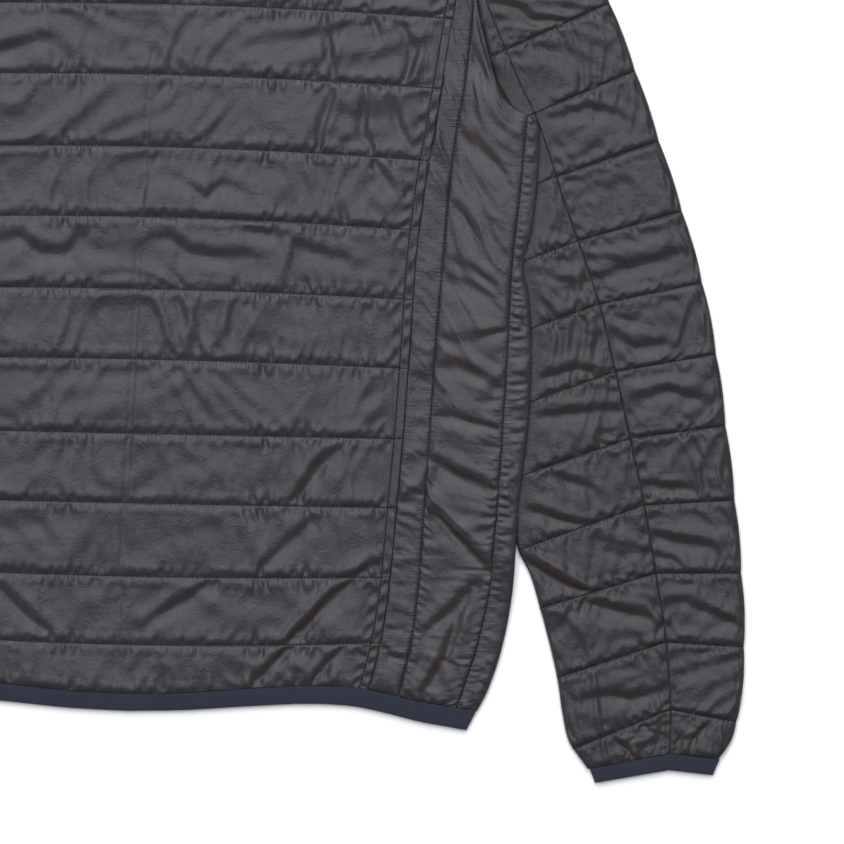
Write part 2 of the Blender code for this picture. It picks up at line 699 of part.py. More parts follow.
def make_sleeve(side, label):
    half_gap = SEAM_GAP / 2
    make_sleeve_panel(side, "sleeve_outer_" + label, 0,
                      lambda h: armhole_side(h) + half_gap, sleeve_fold_out, (1, 2))
    make_sleeve_panel(side, "sleeve_under_" + label, 3,
                      lambda h: armhole_side(h) - half_gap, under_side, (1, 0))


def make_cuff_binding(side, name):
    """Stretch binding round one cuff, a closed band."""
    fold_middle = (FRONT_WALL + BACK_BASE) / 2
    outer, inner = [], []
    upper, lower = CUFF_LINES
    for share, fullness in BINDING_EDGES:
        numbers = [mix(a, b, share) for a, b in zip(lower, upper)]
        marks = [Vector(numbers[i:i + 2]) for i in (0, 2, 4)]
        level = BACK_BASE + BINDING_THICK * fullness

        def at(way):
            i = min(int(way), 1)
            return marks[i].lerp(marks[i + 1], way - i)

        above = [(*at(way), mix(fold_middle, level, rise)) for way, rise in CUFF_STATIONS]
        below = [(*at(way), mix(fold_middle, 0.0, rise)) for way, rise in CUFF_STATIONS]
        outer.append(above + below[-2:0:-1])
        if share in (0.0, 1.0):
            ring = [(*at(way), BACK_BASE) for way in CUFF_INSIDE]
            ring += [(*at(way), FRONT_WALL) for way in CUFF_INSIDE[::-1]]
            inner.append(ring)
    cloth(name, outer, inner, side, BINDING, ring=True)


# ---------------------------------------------------------------- collar and zip

def make_collar():
    """Stand collar round the neck, open at the zip, with one row of stitches."""
    fold_middle = (FRONT_WALL + BACK_BASE) / 2

    def stations(level_out, level_in, rounded):
        """(x, height at the base, level) along one half, from the zip to the middle back."""
        path = []
        for x in front_neck_stations():
            path.append((x, front_neck_line(x), level_in))
        if rounded:
            for inset, rise in NECK_FOLD:
                x = NECK_HALF - inset
                path.append((x, front_neck_line(x), mix(fold_middle, level_in, rise)))
            for inset, rise in (NECK_FOLD[0], (NECK_TURN, 1.0)):
                x = NECK_HALF - inset
                path.append((x, shoulder_line(x), mix(fold_middle, level_out, rise)))
        else:
            x = NECK_HALF - FOLD_INSIDE
            path += [(x, front_neck_line(x), level_in), (x, shoulder_line(x), level_out)]
        for share in COLLAR_COLUMNS:
            path.append((NECK_HALF * share, shoulder_line(NECK_HALF * share), level_out))
        return path

    def row(share, level_out, level_in, rounded):
        taper = mix(1.0, COLLAR_TAPER, share)
        half = []
        for x, base, level in stations(level_out, level_in, rounded):
            squeeze = taper if x > FRONT_EDGE + 1.0 else 1.0
            half.append((x * squeeze, base + SEAM_GAP + share * COLLAR_HEIGHT, level))
        return half + [(-x, y, z) for x, y, z in half[-2::-1]]

    outer = []
    for channel in (0, 1):
        for share in CHANNEL_STATIONS:
            thick = mix(SEAM_THICK, CROWN_THICK, puff(share))
            outer.append(row((channel + share) / 2, BACK_BASE + thick, 0.0, True))
    outer.append(row(1.0, BACK_BASE + SEAM_THICK * 1.3, 0.0, True))
    inner = [row(share, BACK_BASE, FRONT_WALL, False) for share in (0.0, 1.0)]
    cloth("collar", outer, inner, 1, NYLON)


def block(name, low, high, look):
    """A plain block between two corners."""
    bm = bmesh.new()
    bmesh.ops.create_cube(bm, size=1.0)
    for vert in bm.verts:
        vert.co = Vector(mix(a, b, c + 0.5) for a, b, c in zip(low, high, vert.co))
    finish(bm, name, look)


def make_zip():
    teeth_level = FRONT_WALL - TEETH_THICK
    tape_level = FRONT_WALL - TAPE_THICK
    for side, label in ((1, "right"), (-1, "left")):
        ends = sorted((side * TAPE_INNER, side * (FRONT_EDGE - SEAM_GAP)))
        block("zip_tape_" + label, (ends[0], ZIP_FOOT, tape_level),
              (ends[1], ZIP_HEAD, FRONT_WALL), TAPE)
    block("zip_teeth", (-TEETH_HALF, ZIP_FOOT, teeth_level),
          (TEETH_HALF, ZIP_HEAD, FRONT_WALL), TEETH)
    width, length, thick = SLIDER_SIZE
    block("zip_slider", (-width / 2, SLIDER_HEIGHT - length / 2, LOWEST_HARDWARE),
          (width / 2, SLIDER_HEIGHT + length / 2, LOWEST_HARDWARE + thick), ENAMEL)
    width, length, thick = PULLER_SIZE
    head = SLIDER_HEIGHT - SLIDER_SIZE[1] / 2 - SEAM_GAP
    block("zip_puller", (-width / 2, head - length, LOWEST_HARDWARE),
          (width / 2, head, LOWEST_HARDWARE + thick), TAPE)


def main():
    for thing in list(bpy.data.objects):
        bpy.data.objects.remove(thing, do_unlink=True)
    make_back()
    make_collar()
    make_hem_binding()
    for side, label in ((1, "right"), (-1, "left")):
        make_front(side, "front_" + label)
        make_side(side, "side_panel_" + label)
        make_sleeve(side, label)
        make_cuff_binding(side, "cuff_binding_" + label)
    make_zip()


main()
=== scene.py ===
import math

import bmesh
import bpy
import numpy as np
from mathutils import Matrix, Vector


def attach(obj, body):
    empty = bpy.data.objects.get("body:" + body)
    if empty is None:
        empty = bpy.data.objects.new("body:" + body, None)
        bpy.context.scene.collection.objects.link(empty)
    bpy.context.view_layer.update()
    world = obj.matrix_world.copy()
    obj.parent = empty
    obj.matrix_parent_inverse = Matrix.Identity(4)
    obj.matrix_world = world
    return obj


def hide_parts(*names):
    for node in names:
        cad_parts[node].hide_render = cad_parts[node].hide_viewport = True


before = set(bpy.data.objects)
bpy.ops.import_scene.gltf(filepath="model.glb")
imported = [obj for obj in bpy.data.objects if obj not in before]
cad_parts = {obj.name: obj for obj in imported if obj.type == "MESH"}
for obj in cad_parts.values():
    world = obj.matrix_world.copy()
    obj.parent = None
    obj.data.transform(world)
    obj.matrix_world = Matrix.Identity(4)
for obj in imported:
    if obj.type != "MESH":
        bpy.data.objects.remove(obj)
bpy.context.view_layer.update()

mm = 0.001

# Heights are millimetres up from the middle of the hem, half widths are millimetres from
# the garment's middle line; layPoints() brings both into the frame.
garment = {
    "middleHeight": 361.0,
    "shoulderHeight": 645.0,
    "shoulderHalf": 232.0,
    "neckSideHeight": 700.0,
    "neckHalf": 85.0,
    "backNeckDrop": 20.0,
    "frontNeckDrop": 78.0,
    "underarmHeight": 413.5,
    "bindingWidth": 12.0,
    "bindingSpread": 2.5,
    "bindingThick": 2.0,
    "frontWall": 2.4,
    "backBase": 2.7,
    "seamThick": 1.5,
    "crownThick": 3.2,
    "coveredThick": 1.45,
    "sideLift": 4.7,
    "foldReach": 8.0,
    "seamGap": 0.1,
    "seamLap": 0.1,
    "doubleStitch": 3.2,
    "wallInset": 2.4,            # inner wall's distance from a fold
    "hemReach": 240.0,
    "midHeight": 250.0,          # first guess at a point's height, before its row is known
    "armholeTrims": 540.0,       # from here up the armhole trims the back
    "overlapEnds": (530, 556),
    "liftAcross": (50, 4),       # from the sleeve's inner fold
    "liftFrom": (60, 114),
    "liftTo": (434, 464),
}
foldLevel = (garment["frontWall"] + garment["backBase"]) / 2     # where the cloth turns over

lineHeights = (-12, 5, 20, 50, 90, 150, 200, 250, 295, 319, 345, 380, 413, 460, 503, 560, 610)
bodyLines = {
    "backSeam": (157.5, 162, 166.3, 173.5, 179, 183.5, 187, 189.7, 191.8, 193, 195.3, 199.3,
                 204.5, 211.3, 217.6, 226, 233.5),
    "innerStitch": (186, 189, 191.5, 198, 202.5, 205.8, 208.4, 210.6, 213.2, 215, 216.4, 219,
                    222.8, 229.5, 232.6, 237, 243),
    "outerStitch": (225, 230.5, 235.5, 244.5, 252.3, 256.8, 259.3, 261.6, 262.8, 263.8, 266.2,
                    269.2, 271.4, 274, 276, 278, 281),
    "sideFold": (239, 245.6, 253, 262.3, 268.8, 271.5, 276.8, 278.4, 276, 271.4, 277.2, 280.2,
                 280.8, 283, 285, 287, 289),
}
armholeLine = {
    "height": (413.5, 418, 423, 429, 437, 451, 464, 480, 494, 520, 560, 600, 645),
    "half": (280.5, 278.4, 272, 261.5, 253.7, 248.4, 244.6, 240.4, 236.8, 231.8, 228.2, 228.6, 232),
}
hemLine = {
    "half": (0, 40, 85, 125, 157, 180, 203, 225, 245),
    "height": (0, 1.4, 5, 7.6, 6.8, 2.8, -2.6, -6.3, -9.3),
}
hemHalf = (238.6, 245.2)     # at the foot and the top of the binding
backQuilting = {
    "atMiddle": (46.7, 94.5, 145.8, 194.6, 246.7, 296, 346.5, 395.7, 446.3, 495.7, 545.5, 595, 645),
    "atSeam": (51.5, 97.6, 146.4, 194.7, 244.1, 292.4, 340.9, 390, 440.6, 489.8, 539, 588, 637),
}
quiltRows = list(zip(backQuilting["atMiddle"], backQuilting["atSeam"]))
sleeveFoldOut = {
    "height": (-26, -24, -10, 11, 54, 106, 157, 211, 259, 308.5, 358, 407, 456, 503, 549.5, 588,
               615, 630, 642),
    "half": (415.6, 416.8, 424.5, 429.7, 432.2, 429.2, 423.4, 415.7, 408.2, 397.4, 382.3, 365.1,
             347.3, 328.4, 307, 284.5, 262.5, 248.5, 236),
}
sleeveSeam = {
    "height": (-23, 9.4, 57, 105, 152, 199, 245, 291, 333, 364, 393, 424, 446, 468, 490, 501,
               508, 517),
    "half": (381.2, 381.2, 377, 368.7, 359.8, 348.8, 337.5, 325.5, 310.5, 298.6, 288.8, 276.9,
             265.8, 256, 246.2, 241.6, 237.6, 232.7),
}
sleeveFoldIn = {
    "height": (-36, -24, -14, 5, 30, 55, 78, 102, 118, 167, 223, 293, 363, 400, 420, 437),
    "half": (325.8, 316.5, 310, 305.3, 301.1, 294.8, 288.2, 280.5, 272.4, 260.4, 255.2, 255.6,
             263.4, 262.8, 259.4, 254.1),
}
sleeveTip = 505.0
seamJoinsArmhole = 517.0
sleeveTop = seamJoinsArmhole - 0.3     # where the under sleeve runs out, a hair wide
sleeveQuilting = {       # from the shoulder down to the cuff
    "inner": (None, None, None, 505, 463, 417, 369.5, 315.5, 265, 214, 166, 118.5, 78, 29.6,
              -19.8, -33.8),
    "seam": (640.3, 617, 562, 505.4, 468.5, 424.7, 380.5, 336, 292, 245, 198.5, 152, 104.5,
             56.5, 9.4, -21.8),
    "outer": (641, 629, 594, 549.5, 503, 456, 407, 358.3, 308.5, 258.7, 208.7, 156.8, 105.8,
              54, 1.5, -24.9),
}
cuffLines = {            # half width and height at the inner fold, the seam and the outer fold
    "upper": (325.4, -33.7, 381.2, -21.7, 416.4, -24.8),
    "lower": (329.4, -43.4, 380.6, -33.4, 411.8, -36.2),
}


# curves and noise over whole arrays

def curveThrough(keys, values):
    keys, values = np.array(keys, float), np.array(values, float)
    before = np.maximum(np.arange(len(keys)) - 1, 0)
    after = np.minimum(np.arange(len(keys)) + 1, len(keys) - 1)
    slopes = (values[after] - values[before]) / (keys[after] - keys[before])

    def at(key):
        key = np.asarray(key, float)
        i = np.clip(np.searchsorted(keys, key) - 1, 0, len(keys) - 2)
        span = keys[i + 1] - keys[i]
        t = (key - keys[i]) / span
        a, b, c = slopes[i] * span, slopes[i + 1] * span, values[i + 1] - values[i]
        inside = values[i] + t * (a + t * ((3 * c - 2 * a - b) + t * (a + b - 2 * c)))
        low = values[0] + slopes[0] * (key - keys[0])
        high = values[-1] + slopes[-1] * (key - keys[-1])
        return np.where(t < 0, low, np.where(t > 1, high, inside))

    return at


bodyLine = {name: curveThrough(lineHeights, halves) for name, halves in bodyLines.items()}
armholeAt = curveThrough(armholeLine["height"], armholeLine["half"])
hemFoot = curveThrough(hemLine["half"], hemLine["height"])
foldOutAt = curveThrough(sleeveFoldOut["height"], sleeveFoldOut["half"])
seamAt = curveThrough(sleeveSeam["height"], sleeveSeam["half"])
foldInAt = curveThrough(sleeveFoldIn["height"], sleeveFoldIn["half"])


def mix(a, b, t):
    return a + (b - a) * t


def ease(low, high, value):
    t = np.clip((value - low) / (high - low), 0.0, 1.0)
    return t * t * (3.0 - 2.0 * t)


def lattice(ix, iy, seed):
    wave = np.sin(ix * 12.9898 + iy * 78.233 + seed * 37.719) * 43758.5453
    return wave - np.floor(wave)


# smooth noise from -1 to 1 with cells one unit wide
def softNoise(x, y, seed):
    ix, iy = np.floor(x), np.floor(y)
    fx, fy = x - ix, y - iy
    fx, fy = fx * fx * (3 - 2 * fx), fy * fy * (3 - 2 * fy)
    low = mix(lattice(ix, iy, seed), lattice(ix + 1, iy, seed), fx)
    high = mix(lattice(ix, iy + 1, seed), lattice(ix + 1, iy + 1, seed), fx)
    return mix(low, high, fy) * 2 - 1


def turned(x, y, degrees):
    c, s = np.cos(np.radians(degrees)), np.sin(np.radians(degrees))
    return x * c + y * s, y * c - x * s


crumpleLook = {          # wavelength mm, rise mm, turn in degrees, stretch along the turn
    "layers": ((46, 1.05, 24, 1.7), (27, 0.62, -38, 1.6), (15, 0.30, 67, 1.5), (9, 0.13, -12, 1.3)),
    "warp": 7.0,
}


# soft dents with crisp edges, as thin shiny cloth takes them
def crumple(x, y, seed):
    warpX = softNoise(x / 31, y / 31, seed + 5) * crumpleLook["warp"]
    warpY = softNoise(x / 31, y / 31, seed + 9) * crumpleLook["warp"]
    total = 0.0
    for i, (wave, rise, turn, stretch) in enumerate(crumpleLook["layers"]):
        u, v = turned(x + warpX, y + warpY, turn + 40 * softNoise(x / 90, y / 90, seed + 20 + i))
        n = softNoise(u / wave / stretch, v / wave, seed + i)
        m = softNoise(u / wave / stretch + 7.3, v / wave, seed + 40 + i)
        total = total + rise * ((1 - np.abs(n)) ** 2 - np.abs(m) * 0.9)
    return total


# short ridges that run out from a row of stitches; off is the distance from it
def puckers(along, off, seed, reach, wave=6.0):
    lean = softNoise(along / 23, off * 0 + 3.1, seed) * 0.45
    far = reach * (0.45 + 0.55 * (softNoise(along / 13, off * 0, seed + 1) + 1))
    at = along + lean * off
    first = 1 - np.abs(softNoise(at / wave, off / 60, seed + 2)) * 2
    second = 1 - np.abs(softNoise(at / wave * 1.9, off / 40, seed + 3)) * 2
    strength = 0.5 + 0.5 * softNoise(along / 37, off * 0 + 9, seed + 4)
    return (first + 0.45 * second) * np.exp(-(off / far) ** 2) * (0.35 + 0.65 * strength)


# fine sharp creases, long across a row of stitches and close together along it
def crinkle(across, along, seed):
    across = across + 5 * softNoise(across / 21, along / 21, seed + 3)
    along = along + 4 * softNoise(across / 17, along / 13, seed + 4)
    patch = np.clip(0.5 + 0.9 * softNoise(across / 26, along / 24, seed + 6), 0, 1)
    total = 0.0
    for i, (wide, close, deep, thin) in enumerate(((17, 6.5, 0.42, 5.0), (9, 3.8, 0.24, 5.5),
                                                   (12, 9.5, 0.34, 6.0))):
        line = np.abs(softNoise(across / wide, along / close, seed + 11 * i))
        total = total - deep * np.exp(-line * thin)
    return total * (0.25 + 0.75 * patch)


# sum of the listed folds: runs of points, breadth, rise and how crisp they are
def foldsRise(folds, x, y, lapped=False):
    total = np.zeros(np.broadcast(x, y).shape)
    for points, breadth, rise, crisp in folds:
        nearest, above = np.full(total.shape, 1e9), np.ones(total.shape)
        length = sum(math.dist(a, b) for a, b in zip(points, points[1:]))
        run, place = 0.0, np.zeros(total.shape)
        for (x0, y0), (x1, y1) in zip(points, points[1:]):
            dx, dy = x1 - x0, y1 - y0
            size = math.hypot(dx, dy)
            t = np.clip(((x - x0) * dx + (y - y0) * dy) / size ** 2, 0, 1)
            off = np.hypot(x - x0 - t * dx, y - y0 - t * dy)
            closer = off < nearest
            nearest = np.where(closer, off, nearest)
            flip = 1.0 if abs(dx) < abs(dy) * 0.4 or dx > 0 else -1.0
            above = np.where(closer, flip * np.sign(dx * (y - y0) - dy * (x - x0)), above)
            place = np.where(closer, (run + t * size) / length, place)
            run += size
        taper = 0.35 + 0.65 * np.sin(np.pi * np.clip(place, 0.04, 0.96)) ** 0.7
        signed = nearest * above
        if lapped:           # only the sharp edge where the cloth drops off the fold
            past = signed / breadth - (0.6 if rise < 0 else -0.3)
            total += abs(rise) * taper * np.tanh(past / 0.14) * np.exp(-np.abs(past) / 0.7)
            continue
        shape = np.exp(-(nearest / breadth) ** crisp)
        if rise < 0:         # a trough piles cloth up along its upper side
            shape = shape - 0.45 * np.exp(-((signed - 1.35 * breadth) / breadth / 0.8) ** 2)
        total += rise * taper * shape
    return total


# the garment's flat lines

def hemTop(x):
    x = np.abs(x)
    return hemFoot(x) + garment["bindingWidth"] + garment["bindingSpread"] * (x / garment["hemReach"]) ** 2


def shoulderLine(x):
    x = np.abs(x)
    neck = garment["neckSideHeight"] - garment["backNeckDrop"] * (1 - (x / garment["neckHalf"]) ** 2)
    along = (x - garment["neckHalf"]) / (garment["shoulderHalf"] - garment["neckHalf"])
    slope = mix(garment["neckSideHeight"], garment["shoulderHeight"], np.minimum(along, 1.0))
    return np.where(x < garment["neckHalf"], neck, slope)


def frontNeckLine(x):
    inside = np.sqrt(np.maximum(1 - (x / garment["neckHalf"]) ** 2, 0))
    scoop = garment["neckSideHeight"] - garment["frontNeckDrop"] * inside
    return np.where(x >= garment["neckHalf"], shoulderLine(x), scoop)


def bodyHalf(height):
    trimmed = armholeAt(np.maximum(height, garment["armholeTrims"]))
    return np.minimum(bodyLine["backSeam"](height), trimmed)


# how far past the seam line the back reaches, to end under the outer row of stitches
def pastSeam(height):
    return garment["doubleStitch"] * (1 - ease(*garment["overlapEnds"], height))


# how far the side is raised where it lies over the sleeve
def sideLift(x, height):
    begins, ends = garment["liftAcross"]
    edge = foldInAt(np.minimum(height, sleeveFoldIn["height"][-1]))
    across = ease(edge - begins, edge - ends, x)
    return (garment["sideLift"] * across * ease(*garment["liftFrom"], height)
            * (1 - ease(*garment["liftTo"], height)))


def armholeSide(height):
    low = np.maximum(seamAt(height), armholeAt(np.maximum(height, sleeveTip)) + garment["seamGap"])
    return np.where(height > seamJoinsArmhole, armholeAt(height) + garment["seamGap"], low)


def underSide(height):
    high = armholeAt(height) + garment["seamGap"]
    return np.where(height < sleeveFoldIn["height"][-1], foldInAt(height), high)


# closed cloth walls

# a create_grid sheet whose vertices are moved to rows of points; returns them by row
def gridVerts(bm, points):
    rows, columns = points.shape[:2]
    made = bmesh.ops.create_grid(bm, x_segments=columns - 1, y_segments=rows - 1, size=0.5)
    table = [[None] * columns for _ in range(rows)]
    for vert in made["verts"]:
        i, j = round((vert.co.y + 0.5) * (rows - 1)), round((vert.co.x + 0.5) * (columns - 1))
        vert.co = points[i, j]
        table[i][j] = vert
    return table


# faces between two runs of vertices of different number
def strip(bm, near, far):
    def shares(row):
        steps = [0.0] + [(b.co - a.co).length for a, b in zip(row, row[1:])]
        return np.cumsum(steps) / max(sum(steps), 1e-9)

    nearAt, farAt = shares(near), shares(far)
    i = j = 0
    while i < len(near) - 1 or j < len(far) - 1:
        nearNext = nearAt[i + 1] if i < len(near) - 1 else 2.0
        farNext = farAt[j + 1] if j < len(far) - 1 else 2.0
        if nearNext <= farNext:
            bm.faces.new((near[i + 1], near[i], far[j]))
            i += 1
        else:
            bm.faces.new((near[i], far[j], far[j + 1]))
            j += 1


def layPoints(x, height, level, side=1):
    x, height, level = np.broadcast_arrays(x, height, level)
    return np.stack([x * side, height - garment["middleHeight"], level], axis=-1) * mm


# rows from the right half's edge to the middle, and on to the left half's edge
def bothHalves(half):
    mirrored = (half * np.array((-1, 1, 1)))[..., -2::-1, :]
    return np.concatenate([half, mirrored], axis=-2)


def objectFrom(bm, name, smooth):
    mesh = bpy.data.meshes.new(name)
    bm.to_mesh(mesh)
    bm.free()
    if smooth:
        mesh.shade_smooth()
    made = bpy.data.objects.new(name, mesh)
    bpy.context.collection.objects.link(made)
    return made


# a closed wall of cloth; marks are values kept on the outer points for its material
def clothWall(name, outer, inner, marks, ring=False):
    bm = bmesh.new()
    keep = bm.verts.layers.float_vector.new("quilt")
    near, far = gridVerts(bm, outer), gridVerts(bm, inner)
    for row, values in zip(near, marks):
        for vert, value in zip(row, values):
            vert[keep] = value
    farFaces = {face for row in far for vert in row for face in vert.link_faces}
    bmesh.ops.reverse_faces(bm, faces=list(farFaces))
    if ring:
        strip(bm, near[0], far[0])
        strip(bm, near[-1][::-1], far[-1][::-1])
        bmesh.ops.remove_doubles(bm, verts=bm.verts[:], dist=1e-6)
    else:
        strip(bm, near[0], far[0])
        strip(bm, [row[-1] for row in near], [row[-1] for row in far])
        strip(bm, near[-1][::-1], far[-1][::-1])
        strip(bm, [row[0] for row in near][::-1], [row[0] for row in far][::-1])
    bmesh.ops.recalc_face_normals(bm, faces=bm.faces[:])
    return objectFrom(bm, name, True)


def dress(piece, material, slot, *nodes):
    piece.data.materials.append(material)
    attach(piece, "root")
    if nodes:
        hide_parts(*nodes)
    return piece


def pieceFrom(bm, name, material, slot, *nodes, smooth=False):
    return dress(objectFrom(bm, name, smooth), material, slot, *nodes)


# materials

def newMaterial(name, settings):
    made = bpy.data.materials.new(name)
    made.use_nodes = True
    tree = made.node_tree
    shader = tree.nodes["Principled BSDF"]
    for socket, value in settings.items():
        shader.inputs[socket].default_value = value
    return made, tree, shader


def addNode(tree, kind, links=None, **settings):
    node = tree.nodes.new(kind)
    for name, value in settings.items():
        setattr(node, name, value)
    for socket, value in (links or {}).items():
        if isinstance(value, bpy.types.NodeSocket):
            tree.links.new(value, node.inputs[socket])
        else:
            node.inputs[socket].default_value = value
    return node


def maths(tree, operation, *values):
    return addNode(tree, "ShaderNodeMath", dict(enumerate(values)), operation=operation).outputs[0]


def mapRange(tree, value, low, high, first=0.0, last=1.0):
    return addNode(tree, "ShaderNodeMapRange", {"Value": value, "From Min": low, "From Max": high,
                                                "To Min": first, "To Max": last}).outputs[0]


def mixColours(tree, factor, first, second):
    return addNode(tree, "ShaderNodeMix", {"Factor": factor, 6: first, 7: second},
                   data_type="RGBA").outputs[2]


def raised(tree, height, strength, distance, **under):
    return addNode(tree, "ShaderNodeBump", {"Height": height, "Strength": strength,
                                            "Distance": distance, **under}).outputs[0]


# crossed threads as a height and a tone, from a place in metres and a pitch in threads
def makeWeaveGroup():
    group = bpy.data.node_groups.new("wovenThreads", "ShaderNodeTree")
    for name, kind, way in (("Place", "NodeSocketVector", "INPUT"),
                            ("Threads per Metre", "NodeSocketFloat", "INPUT"),
                            ("Height", "NodeSocketFloat", "OUTPUT"),
                            ("Tone", "NodeSocketFloat", "OUTPUT")):
        group.interface.new_socket(name, in_out=way, socket_type=kind)
    start, end = group.nodes.new("NodeGroupInput"), group.nodes.new("NodeGroupOutput")
    scaled = addNode(group, "ShaderNodeVectorMath", {0: start.outputs["Place"]}, operation="SCALE")
    group.links.new(start.outputs["Threads per Metre"], scaled.inputs["Scale"])
    parts = addNode(group, "ShaderNodeSeparateXYZ", {0: scaled.outputs[0]})
    waves = []
    for axis in ("X", "Y"):
        turn = maths(group, "MULTIPLY", parts.outputs[axis], 2 * math.pi)
        waves.append(maths(group, "SINE", turn))
    height = maths(group, "MULTIPLY", *waves)
    tone = addNode(group, "ShaderNodeTexNoise", {"Vector": start.outputs["Place"], "Scale": 55.0,
                                                 "Detail": 4.0})
    group.links.new(height, end.inputs["Height"])
    group.links.new(tone.outputs["Fac"], end.inputs["Tone"])
    return group


def placeGroup(tree, group, place, threads):
    node = addNode(tree, "ShaderNodeGroup", node_tree=group)
    tree.links.new(place, node.inputs["Place"])
    node.inputs["Threads per Metre"].default_value = threads
    return node


nylonLook = {
    "cloth": (0.0215, 0.0200, 0.0235),
    "worn": (0.0255, 0.0235, 0.0265),
    "body": (1.0, 0.275),            # shade and gloss
    "sleeves": (0.93, 0.240),        # painted shade: a darker, less glossy copy of the body's nylon, for the shade on the sleeves
    # painted sheen: a red-brown glint laid on the cloth's steep slopes
    "paintedSheen": (0.046, 0.023, 0.020, 1.0),
    # painted shade: near-black for the shadow in the stitch grooves
    "grooveShade": (0.006, 0.006, 0.007, 1.0),
    "roughness": (0.23, 0.29),
    "threads": 2200.0,
    "creaseBump": 0.0014,
    "puckerBump": 0.0016,
    "weaveBump": 0.0001,
}


def makeNylon(weave, name, shade, gloss):
    made, tree, shader = newMaterial(name, {
        "Specular IOR Level": gloss, "Sheen Weight": 0.05, "Sheen Roughness": 0.35,
        "Sheen Tint": (0.75, 0.42, 0.36, 1.0)})
    cloth, worn = ((*(shade * part for part in nylonLook[key]), 1.0) for key in ("cloth", "worn"))
    place = addNode(tree, "ShaderNodeTexCoord").outputs["Object"]
    threads = placeGroup(tree, weave, place, nylonLook["threads"])
    quilt = addNode(tree, "ShaderNodeAttribute", attribute_name="quilt")
    parts = addNode(tree, "ShaderNodeSeparateXYZ", {0: quilt.outputs["Vector"]})

    # colour: slight clouding, and a painted red-brown sheen where the cloth dips steeply
    tone = mixColours(tree, threads.outputs["Tone"], cloth, worn)
    # painted sheen: how much red-brown glint each slope gets, kept off the stitches
    sheenOnSlopes = mapRange(tree, parts.outputs["Z"], 0.3, 1.0, 0.0, 0.5)
    clear = mapRange(tree, parts.outputs["Y"], 3.0, 7.0)
    withPaintedSheen = mixColours(tree, maths(tree, "MULTIPLY", sheenOnSlopes, clear), tone, nylonLook["paintedSheen"])
    # painted shade: a near-black line along each row of stitches, for the shadow in its groove
    sewn = mapRange(tree, parts.outputs["Y"], 0.3, 1.1, 0.4, 0.0)
    colour = mixColours(tree, sewn, withPaintedSheen, nylonLook["grooveShade"])
    tree.links.new(colour, shader.inputs["Base Color"])
    rough = mapRange(tree, threads.outputs["Tone"], 0.0, 1.0, *nylonLook["roughness"])
    tree.links.new(maths(tree, "ADD", sewn, rough), shader.inputs["Roughness"])

    # fine creases all over, finer puckers close to the stitches, and the weave
    creases = addNode(tree, "ShaderNodeTexNoise", {"Vector": place, "Scale": 150.0, "Detail": 5.0,
                                                   "Roughness": 0.62, "Distortion": 0.9})
    creaseEdge = maths(tree, "ABSOLUTE", maths(tree, "SUBTRACT", creases.outputs["Fac"], 0.5))
    bump = raised(tree, creaseEdge, 0.5, nylonLook["creaseBump"])
    along = addNode(tree, "ShaderNodeCombineXYZ", {"X": parts.outputs["X"], "Y": 0.0})
    fine = addNode(tree, "ShaderNodeTexNoise", {"Vector": along.outputs[0], "Scale": 0.5,
                                                "Detail": 3.0, "Roughness": 0.6})
    near = mapRange(tree, parts.outputs["Y"], 0.0, 9.0, 1.0, 0.0)
    pucker = maths(tree, "MULTIPLY", fine.outputs["Fac"], near)
    bump = raised(tree, pucker, 0.6, nylonLook["puckerBump"], Normal=bump)
    bump = raised(tree, threads.outputs["Height"], 0.12, nylonLook["weaveBump"], Normal=bump)
    tree.links.new(bump, shader.inputs["Normal"])
    return made


bindingLook = {"cloth": (0.011, 0.0145, 0.027, 1.0), "pale": (0.0155, 0.0195, 0.034, 1.0), "ribs": 900.0}


def makeBinding(weave, name, look):
    made, tree, shader = newMaterial(name, {"Roughness": 0.82, "Specular IOR Level": 0.3,
                                            "Sheen Weight": 0.12})
    place = addNode(tree, "ShaderNodeTexCoord").outputs["Object"]
    threads = placeGroup(tree, weave, place, look["ribs"])
    tone = mixColours(tree, threads.outputs["Tone"], look["cloth"], look["pale"])
    tree.links.new(tone, shader.inputs["Base Color"])
    tree.links.new(raised(tree, threads.outputs["Height"], 0.5, 0.0003), shader.inputs["Normal"])
    return made


def makePlain(name, colour, roughness, metallic, grain, gloss=0.5):
    made, tree, shader = newMaterial(name, {"Base Color": colour, "Metallic": metallic,
                                            "Specular IOR Level": gloss})
    place = addNode(tree, "ShaderNodeTexCoord").outputs["Object"]
    noise = addNode(tree, "ShaderNodeTexNoise", {"Vector": place, "Scale": grain, "Detail": 4.0})
    rough = mapRange(tree, noise.outputs["Fac"], 0.0, 1.0, roughness - 0.08, roughness + 0.08)
    tree.links.new(rough, shader.inputs["Roughness"])
    return made


weaveGroup = makeWeaveGroup()
nylon = makeNylon(weaveGroup, "charcoalNylon", *nylonLook["body"])
# painted shade: the sleeves' nylon is a darker copy of the body's
shadedSleeveNylon = makeNylon(weaveGroup, "charcoalNylonShadedSleeve", *nylonLook["sleeves"])
bindingCloth = makeBinding(weaveGroup, "navyStretchBinding", bindingLook)
tapeCloth = makeBinding(weaveGroup, "navyZipTape", {"cloth": (0.020, 0.025, 0.040, 1.0),
                                                    "pale": (0.028, 0.033, 0.050, 1.0),
                                                    "ribs": 1300.0})
thread = makePlain("blackThread", (0.004, 0.004, 0.005, 1.0), 0.85, 0.0, 900.0, 0.05)
plastic = makePlain("blackPlastic", (0.015, 0.015, 0.017, 1.0), 0.42, 0.0, 400.0)
enamel = makePlain("blackEnamel", (0.02, 0.02, 0.022, 1.0), 0.35, 0.6, 300.0)
print("materials made")


# sewing

stitchLook = {"pitch": 2.7, "length": 1.9, "breadth": 0.95, "rise": 0.45}


